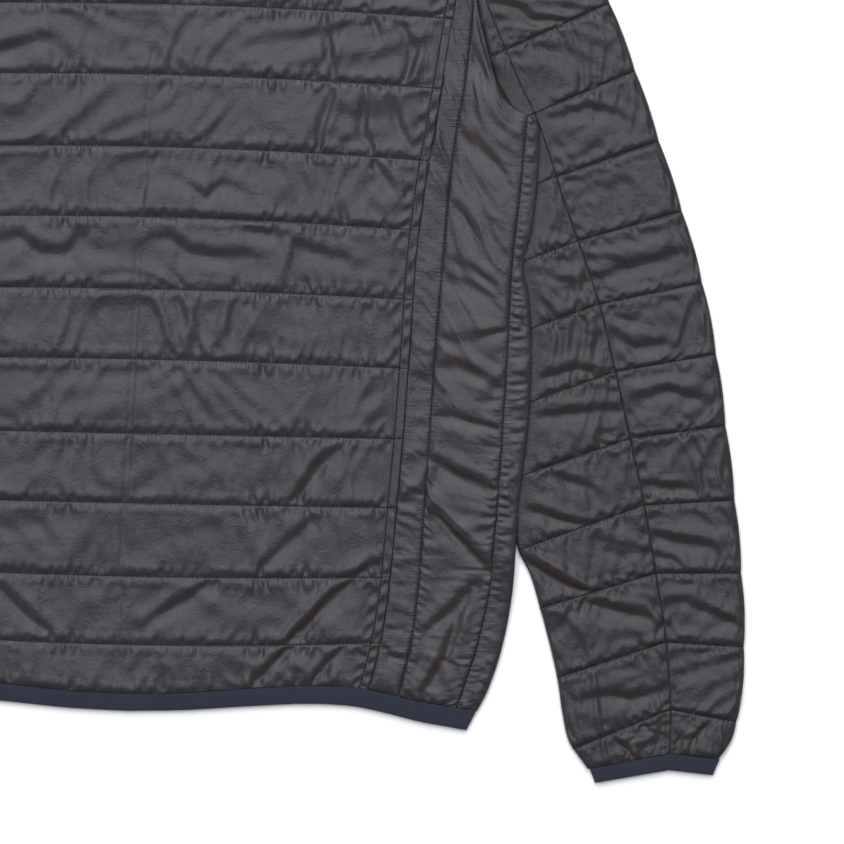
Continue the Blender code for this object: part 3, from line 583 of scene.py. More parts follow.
# places and directions of the stitches along a path
def stitchPlaces(path):
    path = np.asarray(path)
    runs = np.concatenate([[0], np.cumsum(np.linalg.norm(np.diff(path, axis=0), axis=1))]) / mm
    middles = (np.arange(int(runs[-1] / stitchLook["pitch"])) + 0.5) * stitchLook["pitch"]
    half = stitchLook["length"] / 2

    def pathAt(places):
        return np.stack([np.interp(places, runs, path[:, i]) for i in range(3)], axis=-1)

    return zip(pathAt(middles), pathAt(middles + half) - pathAt(middles - half))


# one mesh of short stitches that lie along the rows
def sewRows(name, rows):
    whole = bmesh.new()
    scrap = bpy.data.meshes.new(name + "Row")
    size = Matrix.Diagonal((stitchLook["length"] / 2 * mm, stitchLook["breadth"] / 2 * mm,
                            stitchLook["rise"] * mm, 1))
    for row in rows:
        bm = bmesh.new()
        for middle, run in stitchPlaces(row):
            turn = Vector(run).to_track_quat("X", "Z").to_matrix().to_4x4()
            bmesh.ops.create_icosphere(bm, subdivisions=1, radius=1.0,
                                       matrix=Matrix.Translation(middle) @ turn @ size)
        bm.to_mesh(scrap)
        bm.free()
        whole.from_mesh(scrap)
    bpy.data.meshes.remove(scrap)
    return pieceFrom(whole, name, thread, "nylon", smooth=True)


# a panel's stitches
def sew(piece, rows):
    threads = sewRows(piece.name.replace("Cloth", "Stitches"), rows)


# loft, shared by every quilted panel

loftLook = {"shoulder": 1.9, "uneven": 0.55, "dome": 0.12, "dip": 0.35, "dipReach": 0.8}


# share of full thickness between two rows of stitches, from the distances to both
def loft(offLow, offHigh, along, seed):
    sway = softNoise(along / 12, offLow / 90, seed) + 0.6 * softNoise(along / 5, offLow / 60, seed + 1)
    shoulder = loftLook["shoulder"] * np.exp(loftLook["uneven"] * sway)
    swell = (1 - np.exp(-offLow / shoulder)) * (1 - np.exp(-offHigh / shoulder))
    share = offLow / np.maximum(offLow + offHigh, 1e-6)
    return swell * (1 - loftLook["dome"] + loftLook["dome"] * np.sin(np.pi * share))


# the groove that the thread pulls into the cloth
def dip(off):
    return -loftLook["dip"] * np.exp(-(off / loftLook["dipReach"]) ** 2)


# places across a channel, closer together near its two rows of stitches
def channelShares(steps):
    u = np.arange(steps) / steps
    return mix(u, 0.5 - 0.5 * np.cos(np.pi * u), 0.62)


# which channel each row of a panel's points is in, and its place across that channel
def rowsOfChannels(channels, steps):
    shares = channelShares(steps)
    channel = np.append(np.repeat(np.arange(channels), len(shares)), channels - 1)
    return channel, np.append(np.tile(shares, channels), 1.0)


# 0 at a row of stitches, 1 well away from it
def awayFrom(off, reach):
    return 1 - np.exp(-(off / reach) ** 2)


# the sewn shape beside the stitches, the settled one away from them
def keepSewn(sewn, settled, off, share, reach):
    return mix(sewn, settled, 1 - share * np.exp(-(off / reach) ** 2))


# what a binding gathers up in a panel, from the distance above it
def gathered(x, above, seed, rise, reach, wave):
    return rise * puckers(x, above, seed, reach, wave) * ease(0, 4, above)


# letting the cloth settle between its rows of stitches

settleLook = {
    "levels": ((4, 140), (2, 160), (1, 200)),    # stride over the grid, rounds
    "pull": (0.004, 0.004),                      # wadding pushing up, cloth's own weight
    "bend": 0.016,
    "ease": 0.45,
    "blurs": 9,
    "sharpen": 1.4,
    "carry": 0.86,
    "noise": 1.3,
    "ruffle": 7.0,
    "least": 0.6,
}


# a coarser grid of points brought to a grid of twice as many steps
def refine(field, rows, columns):
    out = np.empty((rows, columns, field.shape[2]))
    out[::2, ::2] = field
    out[1::2, ::2] = (field[:-1] + field[1:]) / 2
    out[:, 1::2] = (out[:, :-1:2] + out[:, 2::2]) / 2
    return out


# spare length over a panel: a little everywhere, more beside a row of stitches
def spareLength(low, near, off, reach, seed, along):
    broad = softNoise(along / 23, off * 0 + 0.5, seed)
    amount = 0.55 + 1.0 * broad + 0.9 * softNoise(along / 7, off * 0 + 2.5, seed + 3)
    far = reach * (1 + 0.6 * softNoise(along / 14, off * 0 + 4.5, seed + 7))
    return low + near * np.exp(-(off / far) ** 2) * np.clip(amount, 0.05, 2)


# relax a sheet with spare length; gives how far each point moved and its thickness
def settle(x, height, target, pinned, seed, growAcross, growUp, clear):
    look = settleLook
    rest = np.stack([x, height, 0 * x], axis=-1)
    moved = None
    for stride, rounds in look["levels"]:
        base, aim = rest[::stride, ::stride], target[::stride, ::stride]
        held = pinned[::stride, ::stride]
        spareX, spareY = growAcross[::stride, ::stride], growUp[::stride, ::stride]
        if moved is None:
            bx, by = base[..., 0], base[..., 1]
            rise = softNoise(bx / 17, by / 13, seed) + 0.7 * softNoise(bx / 8, by / 9, seed + 1)
            moved = np.zeros(base.shape)
            moved[..., 2] = aim + look["noise"] * rise
        else:
            moved = refine(moved, *base.shape[:2])
            rise = softNoise(base[..., 0] / (2.2 * stride), base[..., 1] / (3.0 * stride), seed + stride)
            moved[..., 2] += rise * look["ruffle"] * (spareX + spareY)
        place = base + moved
        before = place.copy()
        springs = []
        for dr, dc, stiff in ((0, 1, 1.0), (1, 0, 1.0), (1, 1, 0.35), (1, -1, 0.35)):
            a = (slice(0, -dr or None), slice(max(-dc, 0), -dc if dc > 0 else None))
            b = (slice(dr, None), slice(max(dc, 0), dc if dc < 0 else None))
            run = base[b] - base[a]
            size = np.hypot(run[..., 0] * (1 + (spareX[a] + spareX[b]) / 2),
                            run[..., 1] * (1 + (spareY[a] + spareY[b]) / 2))
            springs.append((a, b, size, stiff))
        for _ in range(rounds):
            shift = np.zeros(place.shape)
            for a, b, size, stiff in springs:
                run = place[b] - place[a]
                now = np.sqrt((run ** 2).sum(axis=-1))
                fix = run * ((1 - size / now) * 0.5 * stiff)[..., None]
                shift[a] += fix
                shift[b] -= fix
            z = place[..., 2]
            bend = np.zeros(z.shape)
            for level, bent in ((z.T, bend.T), (z, bend)):       # across the panel, then up it
                curl = level[:-2] - 2 * level[1:-1] + level[2:]
                bent[1:-1] += curl * 0.5
                bent[:-2] -= curl * 0.25
                bent[2:] -= curl * 0.25
            step = place - before
            before = place.copy()
            place = place + shift * look["ease"] + step * look["carry"]
            place[..., 2] += bend * look["bend"]
            gap = aim - place[..., 2]
            place[..., 2] += np.where(gap > 0, look["pull"][0], look["pull"][1]) * stride ** 1.5 * gap
            place[..., 2] = np.maximum(place[..., 2], look["least"])
            place[held, :2] = base[held, :2]
            place[held, 2] = aim[held]
        moved = place - base
    soft = moved[..., 2]
    for _ in range(look["blurs"]):
        wide = np.pad(soft, 1, mode="edge")
        soft = (wide[:-2, 1:-1] + wide[2:, 1:-1] + wide[1:-1, :-2] + wide[1:-1, 2:] + 2 * soft) / 6
    return moved[..., 0], moved[..., 1], moved[..., 2] + look["sharpen"] * (moved[..., 2] - soft) * clear


# the centre back

backLook = {
    "columns": 272,
    "crown": 0.8,
    "dents": (0.75, 5.5, 10.0),      # depth, reach above the row, length along it
    "gathers": (0.8, 20.0, 13.0),    # rise, reach above the binding, length along it
    "sewn": (0.8, 1.9),              # share kept beside a row and how far out
    "clear": 4.0,
    "edgeColumns": 8,
    "channelRows": 24,
    "seed": 11,
    "crumple": 0.9,
    "crinkle": 0.6,
    "foldsAgain": 0.22,
    "spareX": (0.013, 0.085),
    "spareY": (0.012, 0.06),
    "spareReach": 7.0,
    "folds": (
        # points from end to end, breadth, rise, crispness
        (((171, 106), (155, 94), (136, 75), (118, 54), (107, 39), (91, 22)), 5.0, -3.0, 1.3),
        (((176, 112), (158, 103), (142, 86), (124, 64)), 6.0, 1.3, 1.6),
        (((62, 94), (42, 79), (16, 63)), 5.0, -1.6, 1.3),
        (((-90, 83), (-71, 65), (-54, 52)), 5.0, -1.8, 1.3),
        (((151, 192), (131, 173), (118, 152), (110, 147)), 5.0, -1.6, 1.4),
        (((127, 134), (90, 99)), 5.5, -1.3, 1.4),
        (((152, 49), (130, 23)), 4.0, -1.6, 1.3),
        (((182, 483), (192, 468), (185, 442)), 4.0, -1.7, 1.3),
        (((127, 489), (136, 446)), 4.0, -1.2, 1.3),
        (((161, 490), (167, 475)), 3.5, -1.2, 1.3),
        (((175, 436), (181, 417), (190, 398)), 3.5, -1.5, 1.3),
        (((159, 439), (156, 411), (165, 392)), 4.0, -1.4, 1.3),
        (((135, 437), (127, 410), (127, 397)), 4.0, -1.2, 1.3),
        (((165, 389), (181, 366)), 4.0, -1.2, 1.3),
        (((-95, 326), (-81, 329), (-68, 319), (-48, 318), (-39, 331)), 6.0, -1.7, 1.5),
        (((10, 329), (22, 331), (37, 321), (55, 318), (79, 320)), 6.0, -1.8, 1.5),
        (((70, 339), (106, 334)), 5.0, -1.2, 1.4),
        (((110, 327), (148, 318)), 5.0, -1.2, 1.4),
        (((28, 372), (49, 360), (59, 369), (73, 366)), 5.0, -1.4, 1.4),
        (((11, 505), (7, 420), (2, 330), (0, 240), (-4, 140), (-8, 20)), 2.6, -0.55, 1.2),
        (((-140, 300), (-160, 280), (-175, 255)), 5.0, -1.6, 1.4),
        (((-165, 130), (-140, 95), (-120, 70)), 5.0, -2.4, 1.3),
        (((-120, 70), (-104, 45), (-96, 22)), 5.0, -2.2, 1.3),
        (((-60, 470), (-90, 462), (-120, 450)), 6.0, -1.5, 1.4),
        (((60, 610), (95, 590), (130, 560)), 7.0, -1.7, 1.5),
        (((-70, 620), (-110, 600), (-150, 565)), 7.0, -1.7, 1.5),
        (((180, 620), (200, 585), (215, 540)), 6.0, -1.7, 1.4),
        (((-185, 610), (-200, 575), (-210, 520)), 6.0, -1.7, 1.4),
        (((-30, 560), (10, 566), (50, 556)), 6.0, -1.3, 1.5),
    ),
}


# heights of the hem, every row of stitches and the neck, at places across the back
def backRowHeights(x, across):
    rows = [mix(atMiddle, atSeam, across * across) + 0 * x for atMiddle, atSeam in quiltRows]
    return np.stack([hemTop(x), *rows, shoulderLine(x) - garment["seamGap"]])


def makeBackPanel():
    look = backLook
    channels = len(quiltRows) + 1
    channel, share = rowsOfChannels(channels, look["channelRows"])
    share = share[:, None]
    inner = np.linspace(-1, 1, look["columns"] + 1)
    edge = 1 + np.linspace(0, 1, look["edgeColumns"] + 1)[1:]
    across = np.concatenate([-edge[::-1], inner, edge])      # 1 at the seam's inner stitches

    def xAt(height):
        half, size = bodyHalf(height), np.abs(across)
        stitched = half - garment["doubleStitch"]
        past = mix(stitched, half + pastSeam(height), size - 1)
        return np.sign(across) * np.where(size > 1, past, stitched * size)

    height = np.full((len(share), len(across)), garment["midHeight"])
    x = xAt(height)
    for _ in range(4):
        rows = backRowHeights(x, x / bodyHalf(height))
        low = np.take_along_axis(rows, channel[None, :, None], axis=0)[0]
        high = np.take_along_axis(rows, channel[None, :, None] + 1, axis=0)[0]
        height = mix(low, high, share)
        x = xAt(height)

    offLow, offHigh = (height - low), (high - height)
    offSeam = bodyHalf(height) - np.abs(x)
    offDouble = np.abs(np.abs(offSeam) - garment["doubleStitch"])
    pinch = ease(0, 15, offSeam - garment["doubleStitch"])
    seed = look["seed"]
    crown = (garment["crownThick"] - garment["seamThick"]) * look["crown"]
    lofted = loft(offLow, offHigh, x, seed + 60)
    thick = garment["seamThick"] + crown * lofted * mix(0.10, 1.0, pinch)
    plain = thick.copy()
    thick += crumple(x, height, seed) * mix(0.1, 1.0, lofted) * pinch * look["crumple"]
    thick += foldsRise(look["folds"], x, height) * mix(0.3, 1.0, lofted) * mix(0.3, 1.0, pinch)
    thick += gathered(x, np.maximum(height - hemTop(x), 0), seed + 90, *look["gathers"])
    pinned = np.zeros(x.shape, bool)
    pinned[::look["channelRows"]] = True
    pinned[:, [0, look["edgeColumns"], -1 - look["edgeColumns"], -1]] = True
    thick = np.where(pinned, garment["seamThick"], np.maximum(thick, 0.9))
    nearRow = np.minimum(offLow, offHigh)
    nearest = np.minimum(nearRow, offDouble)
    spareX = spareLength(*look["spareX"], nearRow, look["spareReach"], seed + 50, x)
    spareY = spareLength(*look["spareY"], offDouble, look["spareReach"], seed + 51, height)
    clear = awayFrom(nearest, look["clear"])
    again = foldsRise(look["folds"], x, height, True) * pinch
    dx, dh, thick = settle(x, height, thick, pinned, seed, spareX, spareY, clear)
    thick = keepSewn(plain, thick, nearest, *look["sewn"])
    thick += (again * look["foldsAgain"] + look["crinkle"] * crinkle(height, x, seed + 33)) * clear
    deep, reach, wave = look["dents"]
    dents = np.clip(0.2 - puckers(x, offLow, seed + 70 + channel[:, None], reach, wave), 0, 1)
    thick -= deep * dents * np.exp(-(offLow / reach) ** 2) * (1 - np.exp(-offLow / 1.2))
    x, height = x + dx, height + dh
    thick += dip(offLow) * (channel[:, None] > 0) + dip(offHigh) * (channel[:, None] < channels - 1)
    thick += dip(offDouble)
    level = garment["backBase"] + np.maximum(thick, 0.6)

    marks = np.stack([x, nearest, steepness(x, height, thick)], axis=-1)
    innerAcross, innerShare = np.meshgrid(np.linspace(-1, 1, 40), np.linspace(0, 1, 50))
    ix = innerAcross * bodyHalf(garment["midHeight"])
    for _ in range(4):
        ih = mix(hemTop(ix), shoulderLine(ix), innerShare)
        ix = innerAcross * bodyHalf(ih)
    outer = layPoints(x, height, level)
    piece = clothWall("backPanelCloth", outer, layPoints(ix, ih, garment["backBase"]), marks)
    dress(piece, nylon, "nylon", "back_panel")
    rows = [outer[i] for i in range(look["channelRows"], len(channel) - 1, look["channelRows"])]
    rows += [outer[:, look["edgeColumns"]], outer[:, -1 - look["edgeColumns"]]]
    sew(piece, rows)


# how steeply the cloth falls away, from 0 to 1
def steepness(x, height, thick):
    across = np.gradient(thick, axis=1) / np.maximum(np.abs(np.gradient(x, axis=1)), 0.3)
    up = np.gradient(thick, axis=0) / np.maximum(np.abs(np.gradient(height, axis=0)), 0.3)
    return np.clip(np.hypot(across, up), 0, 1)


# side panels

sideLook = {
    "rows": 401,
    "columns": (1, 15, 32, 16),      # seam to its stitches, to the inner, the outer, the fold
    "seed": 31,
    "gathers": (0.8, 18.0, 11.0),
    "sewn": (0.8, 1.7),
    "clear": 3.0,
    "crumple": 1.0,
    "crinkle": 1.5,
    "foldsAgain": 0.38,
    "spareX": (0.016, 0.06),
    "spareY": (0.016, 0.07),
    "spareReach": 6.0,
    "spareShare": (0.5, 0.55, 0.9, 0.9),
    "fullness": (0.12, 0.62, 1.0, 0.8),
    "calm": (0.05, 170, 290),        # liveliness left between the rows, and the heights it fades over
    "folds": (
        (((210, 145), (225, 129), (251, 103)), 4.5, -2.2, 1.3),
        (((206, 158), (224, 142), (250, 118)), 5.0, 1.0, 1.6),
        (((210, 180), (228, 169), (252, 159)), 6.5, -2.0, 1.5),
        (((211, 209), (223, 211), (254, 202)), 4.5, -1.5, 1.3),
        (((241, 92), (226, 75), (212, 62)), 4.5, -2.0, 1.3),
        (((234, 84), (228, 64), (222, 42), (209, 17)), 4.5, -2.4, 1.2),
        (((228, 78), (217, 44), (207, 22)), 4.5, 1.6, 1.4),
        (((177, 51), (183, 42), (194, 40)), 3.5, -1.2, 1.3),
        (((217, 320), (235, 313), (250, 302)), 4.5, -1.8, 1.3),
        (((215, 307), (234, 301), (247, 293)), 6.5, -1.6, 1.5),
        (((214, 265), (225, 263), (239, 266), (262, 272)), 3.2, -1.8, 1.1),
        (((219, 360), (227, 354), (234, 340)), 4.0, -1.6, 1.3),
        (((212, 243), (225, 246), (254, 234)), 6.0, -1.5, 1.5),
        (((222, 410), (240, 398), (256, 380)), 5.0, -1.6, 1.4),
        (((230, 470), (240, 452), (247, 436)), 4.5, -1.4, 1.4),
    ),
}


# share of full height where the cloth turns over a fold, from the inset
def roundOver(inset, reach=None):
    rest = 1 - np.clip(inset / (reach or garment["foldReach"]), 0, 1)
    return np.sqrt(np.maximum(1 - rest * rest, 0))


def crowdedSteps(steps):
    return 0.5 - 0.5 * np.cos(np.pi * np.arange(steps) / steps)


# how far the underside is drawn up by a row of stitches
def underGroove(off):
    return 0.9 * np.exp(-(off / 2.4) ** 1.3)


# height at which the line this far in from the side fold meets the armhole
def sideHead(inset):
    heights = np.linspace(garment["underarmHeight"], 600, 1800)
    over = armholeAt(heights) - inset(heights)
    return heights[np.argmax(over <= 0)] if (over <= 0).any() else heights[-1]


def makeSidePanel(side, label):
    look = sideLook
    lines = [lambda h: bodyLine["backSeam"](h) + pastSeam(h) - garment["seamLap"],
             lambda h: bodyLine["backSeam"](h) + garment["doubleStitch"],
             bodyLine["innerStitch"], bodyLine["outerStitch"], bodyLine["sideFold"]]
    shares = np.linspace(0, 1, look["rows"])
    shares = mix(shares, 0.5 - 0.5 * np.cos(np.pi * shares), 0.12)

    columns = []             # (segment, place within it)
    for segment, steps in enumerate(look["columns"]):
        places = crowdedSteps(steps) if segment < 3 else np.sin(np.arange(steps) / steps * np.pi / 2)
        columns += [(segment, place) for place in places]
    columns.append((3, 1.0))

    def column(segment, place):
        def xAt(height):
            return mix(lines[segment](height), lines[segment + 1](height), place)

        foot = hemTop(xAt(hemTop(xAt(hemTop(xAt(5.0))))))
        height = mix(foot, sideHead(xAt) - garment["seamGap"], shares)
        x = xAt(height)
        return x, height, x - lines[segment](height), lines[segment + 1](height) - x

    made = [column(*at) for at in columns]
    x, height, offLow, offHigh = (np.stack([m[i] for m in made], axis=1) for i in range(4))
    segment = np.array([c[0] for c in columns])
    full = np.array(look["fullness"])[segment]
    last = segment == 3
    fat = np.where(last, (1 - np.exp(-offLow / 5.0)), loft(offLow, offHigh, height, look["seed"] + 60))
    ends = ease(0, 9, height - hemTop(x)) * (1 - ease(0.965, 1, shares))[:, None]
    crown = garment["crownThick"] - garment["seamThick"]
    thick = garment["seamThick"] + crown * full * fat * mix(0.25, 1, ends)
    plain = thick.copy()
    spare = mix(0.2, 1.0, fat) * np.where(segment == 0, 0.2, 1.0) * mix(0.3, 1, ends)
    seed = look["seed"] + side
    thick += look["crumple"] * crumple(x, height, seed) * spare
    thick += foldsRise(look["folds"], x, height) * mix(0.35, 1.0, fat) * ends
    nearest = np.where(last, offLow, np.where(segment == 0, offHigh, np.minimum(offLow, offHigh)))
    aboveHem = np.maximum(height - hemTop(x), 0)
    thick += gathered(x, aboveHem, seed + 90, *look["gathers"])
    starts = np.cumsum((0,) + look["columns"])
    pinned = np.zeros(x.shape, bool)
    pinned[:, starts] = True
    pinned[[0, -1]] = True
    rowNumber, columnNumber = np.indices(x.shape)
    fixed = pinned & (columnNumber < starts[4]) | (rowNumber % (len(x) - 1) == 0)
    thick = np.where(fixed, garment["seamThick"], np.maximum(thick, 0.9))
    spareX = spareLength(*look["spareX"], aboveHem, look["spareReach"], seed + 50, x)
    spareY = spareLength(*look["spareY"], nearest, look["spareReach"], seed + 51, height)
    spareY *= np.array(look["spareShare"])[segment][None]
    calm, fadeLow, fadeHigh = look["calm"]
    lively = np.where(segment == 2, mix(1.0, calm, ease(fadeLow, fadeHigh, height)), 1.0)
    spareX, spareY = spareX * lively, spareY * lively
    clear = awayFrom(nearest, look["clear"])
    again = foldsRise(look["folds"], x, height, True) * ends
    dx, dh, thick = settle(x, height, thick, pinned, seed, spareX, spareY, clear)
    thick = keepSewn(plain, thick, nearest, *look["sewn"])
    fine = look["crinkle"] * lively * crinkle(x, height, seed + 33)
    thick += (again * look["foldsAgain"] + fine) * clear
    x, height = x + dx, height + dh
    thick += dip(np.where(segment > 0, offLow, 9.0)) + dip(np.where(last, 9.0, offHigh))
    thick = np.maximum(thick, 0.7)
    turn = roundOver(bodyLine["sideFold"](height) - x)
    level = foldLevel + (garment["backBase"] + thick - foldLevel) * turn + sideLift(x, height)
    # the stitches are read 0.85 mm further off here, so the painted groove shade along the side's rows
    # stays lighter
    marks = np.stack([height, nearest + 0.85, steepness(x, height, thick)], axis=-1)

    underAt = list(range(len(columns) - 2, -1, -5)) + [0]
    ux, uh, un = x[:, underAt], height[:, underAt], nearest[:, underAt]
    ux[:, -1] = bodyLine["backSeam"](uh[:, -1]) - garment["seamLap"]     # meets the front
    uTurn = roundOver(bodyLine["sideFold"](uh) - ux)
    uLevel = foldLevel * (1 - uTurn) + underGroove(un) * uTurn + sideLift(ux, uh)
    uMarks = np.stack([uh, un, np.zeros_like(uh)], axis=-1)

    inRows = np.linspace(0, look["rows"] - 1, 60).round().astype(int)
    inAt = [0] + list(range(6, len(columns) - 4, 5))
    ix, ih = x[inRows][:, inAt], height[inRows][:, inAt]
    ix = np.minimum(ix, bodyLine["sideFold"](ih) - garment["wallInset"])
    frontX = ix.copy()
    frontX[:, 0] = bodyLine["backSeam"](ih[:, 0]) - garment["seamLap"]
    lift = sideLift(ix, ih)
    inner = np.concatenate([layPoints(ix, ih, garment["backBase"] + lift, side),
                            layPoints(frontX, ih, garment["frontWall"] + lift, side)[:, ::-1]], axis=1)
    outer = np.concatenate([layPoints(x, height, level, side),
                            layPoints(ux, uh, uLevel, side)], axis=1)
    piece = clothWall("sidePanelCloth" + label, outer, inner, np.concatenate([marks, uMarks], axis=1))
    dress(piece, nylon, "nylon", "side_panel_" + label.lower())
    sew(piece, [outer[:, starts[i]] for i in (1, 2, 3)])


# sleeves

sleeveLook = {
    "channelRows": 28,
    "columns": 65,
    "seed": 53,
    "gathers": (0.7, 13.0, 9.0),
    "sewn": (0.75, 1.8),
    "clear": 3.0,
    "crumple": 0.75,
    "crinkle": 1.5,
    "foldsAgain": 0.38,
    "spareX": (0.022, 0.08),
    "spareY": (0.022, 0.06),
    "spareReach": 5.0,
    "scallop": (-0.9, 0.4),
    "cuffHeight": -24,
    "uncovered": ((1, 13), (438, 466)),      # past the side's fold, or above these heights
    "folds": (
        (((278, 110), (289, 103), (306, 94), (324, 88)), 4.5, -2.4, 1.2),
        (((282, 118), (298, 108), (318, 99)), 4.5, 1.1, 1.5),
        (((320, 82), (337, 78), (365, 72)), 4.5, -2.0, 1.3),
        (((273, 146), (289, 144), (303, 139), (317, 137)), 4.2, -1.9, 1.3),
        (((295, 170), (321, 163)), 4.2, -1.5, 1.3),
        (((358, 166), (377, 164), (391, 164)), 4.2, -1.7, 1.3),
        (((364, 131), (387, 127), (406, 124)), 4.2, -1.8, 1.3),
        (((368, 117), (379, 114), (388, 108)), 3.6, -1.3, 1.3),
        (((373, 84), (390, 83), (412, 75), (429, 68)), 4.5, -1.9, 1.3),
        (((280, 210), (309, 215), (338, 217)), 5.0, -1.6, 1.4),
        (((279, 236), (308, 245), (331, 244)), 5.0, -1.5, 1.4),
        (((321, 15), (337, 18), (353, 16), (368, 20), (378, 24)), 4.2, -1.8, 1.3),
        (((377, 4), (376, -7), (378, -18)), 3.6, -1.6, 1.2),
        (((411, 1), (401, -8), (396, -17)), 3.6, -1.5, 1.2),
        (((340, -11), (356, -25)), 3.6, -1.3, 1.2),
        (((300, 300), (345, 316), (390, 330)), 6.0, -1.2, 1.5),
        (((262, 540), (280, 532), (300, 520)), 6.0, -1.6, 1.4),
        (((330, 270), (350, 262), (372, 264)), 5.0, -1.3, 1.4),
        (((290, 420), (315, 428), (335, 424)), 5.0, -1.3, 1.4),
        (((350, 225), (375, 232), (400, 226)), 4.5, -1.3, 1.4),
        (((256, 500), (275, 490), (300, 488)), 5.0, -1.4, 1.4),
    ),
}


# a sleeve panel; lines are the heights of its rows of stitches at the seam and fold
def makeSleevePanel(side, name, node, lines, seamX, foldX, seed, scalloped):
    look = sleeveLook
    channels = len(lines) - 1
    channel, share = rowsOfChannels(channels, look["channelRows"])
    lines = np.array(lines, float)
    low, high = lines[channel], lines[channel + 1]

    def rowEnds(heights, bulge=0.0):
        return (np.stack([seamX(heights[:, 0]), heights[:, 0]], axis=-1),
                np.stack([foldX(heights[:, 1]) + bulge, heights[:, 1]], axis=-1))

    bulge = mix(*look["scallop"], np.sin(np.pi * share) ** 0.6) if scalloped else 0.0
    seamEnd, foldEnd = rowEnds(mix(low, high, share[:, None]), bulge)
    length = np.linalg.norm(foldEnd - seamEnd, axis=1)
    q = np.linspace(0, 1, look["columns"])
    q = mix(q, np.sin(q * np.pi / 2), 0.45)
    points = seamEnd[:, None] + (foldEnd - seamEnd)[:, None] * q[None, :, None]
    x, height = points[..., 0], points[..., 1]

    def away(heights):
        a, b = rowEnds(heights)
        run = b - a
        rel = points - a[:, None]
        cross = run[:, None, 0] * rel[..., 1] - run[:, None, 1] * rel[..., 0]
        return np.abs(cross) / np.linalg.norm(run, axis=1)[:, None]

    offLow, offHigh = away(low), away(high)
    fromRow = np.minimum(offLow, offHigh)
    fromSeam = length[:, None] * q
    fromFold = length[:, None] * (1 - q)
    fat = loft(offLow, offHigh, fromSeam, seed + 60)
    pinch = ease(0, 11, fromSeam)
    crown = garment["crownThick"] - garment["seamThick"]
    thick = garment["seamThick"] + crown * fat * mix(0.3, 1, pinch)
    plain = thick.copy()
    spare = mix(0.15, 1.0, fat) * mix(0.3, 1, pinch)
    thick += look["crumple"] * crumple(x, height, seed) * spare
    thick += foldsRise(look["folds"], x, height) * mix(0.35, 1, fat) * mix(0.4, 1, pinch)
    thick += gathered(x, np.maximum(height - look["cuffHeight"], 0), seed + 90, *look["gathers"])
    pinned = np.zeros(x.shape, bool)
    pinned[::look["channelRows"]] = True
    fixed = pinned.copy()
    pinned[:, [0, -1]] = True
    fixed[:, 0] = True
    thick = np.where(fixed, garment["seamThick"], np.maximum(thick, 0.9))
    spareX = spareLength(*look["spareX"], fromRow, look["spareReach"], seed + 50, fromSeam)
    spareY = spareLength(*look["spareY"], fromSeam, look["spareReach"], seed + 51, height)
    nearest = np.minimum(fromRow, fromSeam)
    clear = awayFrom(nearest, look["clear"])
    again = foldsRise(look["folds"], x, height, True)
    dx, dh, thick = settle(x, height, thick, pinned, seed, spareX, spareY, clear)
    thick = keepSewn(plain, thick, np.minimum(fromRow, fromSeam * 1.6), *look["sewn"])
    fine = look["crinkle"] * crinkle(fromSeam, height, seed + 33) * mix(1.9, 0.8, ease(0, 45, fromSeam))
    thick += (again * look["foldsAgain"] + fine) * clear
    x, height = x + dx, height + dh
    thick += dip(np.where(channel[:, None] > 0, offLow, 9.0))
    thick += dip(np.where(channel[:, None] < channels - 1, offHigh, 9.0))
    thick = np.maximum(thick, 0.7)
    pastFold, above = look["uncovered"]
    uncovered = np.maximum(ease(*pastFold, x - bodyLine["sideFold"](height)), ease(*above, height))
    thick = mix(garment["coveredThick"], thick, uncovered)
    reach = np.minimum(garment["foldReach"], length[:, None] * 0.6)
    turn = np.sqrt(np.maximum(1 - (1 - np.clip(fromFold / reach, 0, 1)) ** 2, 0))
    level = foldLevel + (garment["backBase"] + thick - foldLevel) * turn
    marks = np.stack([fromSeam + height * 0.3, nearest, steepness(x, height, thick) * uncovered], axis=-1)

    underAt = list(range(look["columns"] - 2, 0, -5)) + [0]
    ux, uh, un, ut = (a[:, underAt] for a in (x, height, nearest, turn))
    uLevel = foldLevel * (1 - ut) + underGroove(un) * ut
    uMarks = np.stack([ux, un, np.zeros_like(ux)], axis=-1)
    outer = np.concatenate([layPoints(x, height, level, side),
                            layPoints(ux, uh, uLevel, side)], axis=1)

    inRows = np.append(np.arange(0, len(channel) - 1, 14), len(channel) - 1)
    inset = 1 - np.minimum(garment["wallInset"], length[inRows] * 0.3) / length[inRows]
    inside = [layPoints(seamEnd[inRows, 0], seamEnd[inRows, 1], garment["backBase"], side)]
    for part in (0.5, 1.0):
        at = seamEnd[inRows] + (foldEnd - seamEnd)[inRows] * (inset * part)[:, None]
        inside.append(layPoints(at[:, 0], at[:, 1], garment["backBase"], side))
    inside += [line + np.array((0, 0, (garment["frontWall"] - garment["backBase"]) * mm))
               for line in inside[::-1]]
    piece = clothWall(name, outer, np.stack(inside, axis=1), np.concatenate([marks, uMarks], axis=1))
    # the sleeves take the darker copy of the nylon, a painted shade
    dress(piece, shadedSleeveNylon, "nylon", node)
    sew(piece, [outer[i] for i in range(len(channel)) if share[i] == 0 and channel[i] > 0])


def makeSleeve(side, label):
    inner, seam, outer = (sleeveQuilting[name] for name in ("inner", "seam", "outer"))
    half = garment["seamGap"] / 2
    makeSleevePanel(side, "sleeveOuterCloth" + label, "sleeve_outer_" + label.lower(),
                    list(zip(seam, outer))[::-1], lambda h: armholeSide(h) + half,
                    foldOutAt, sleeveLook["seed"] + side, True)
    makeSleevePanel(side, "sleeveUnderCloth" + label, "sleeve_under_" + label.lower(),
                    list(zip(seam, inner))[:2:-1] + [(sleeveTop, sleeveTop)],
                    lambda h: armholeSide(h) - half,
                    underSide, sleeveLook["seed"] + 7 + side, False)


# fronts, flat underneath and quilted shallowly

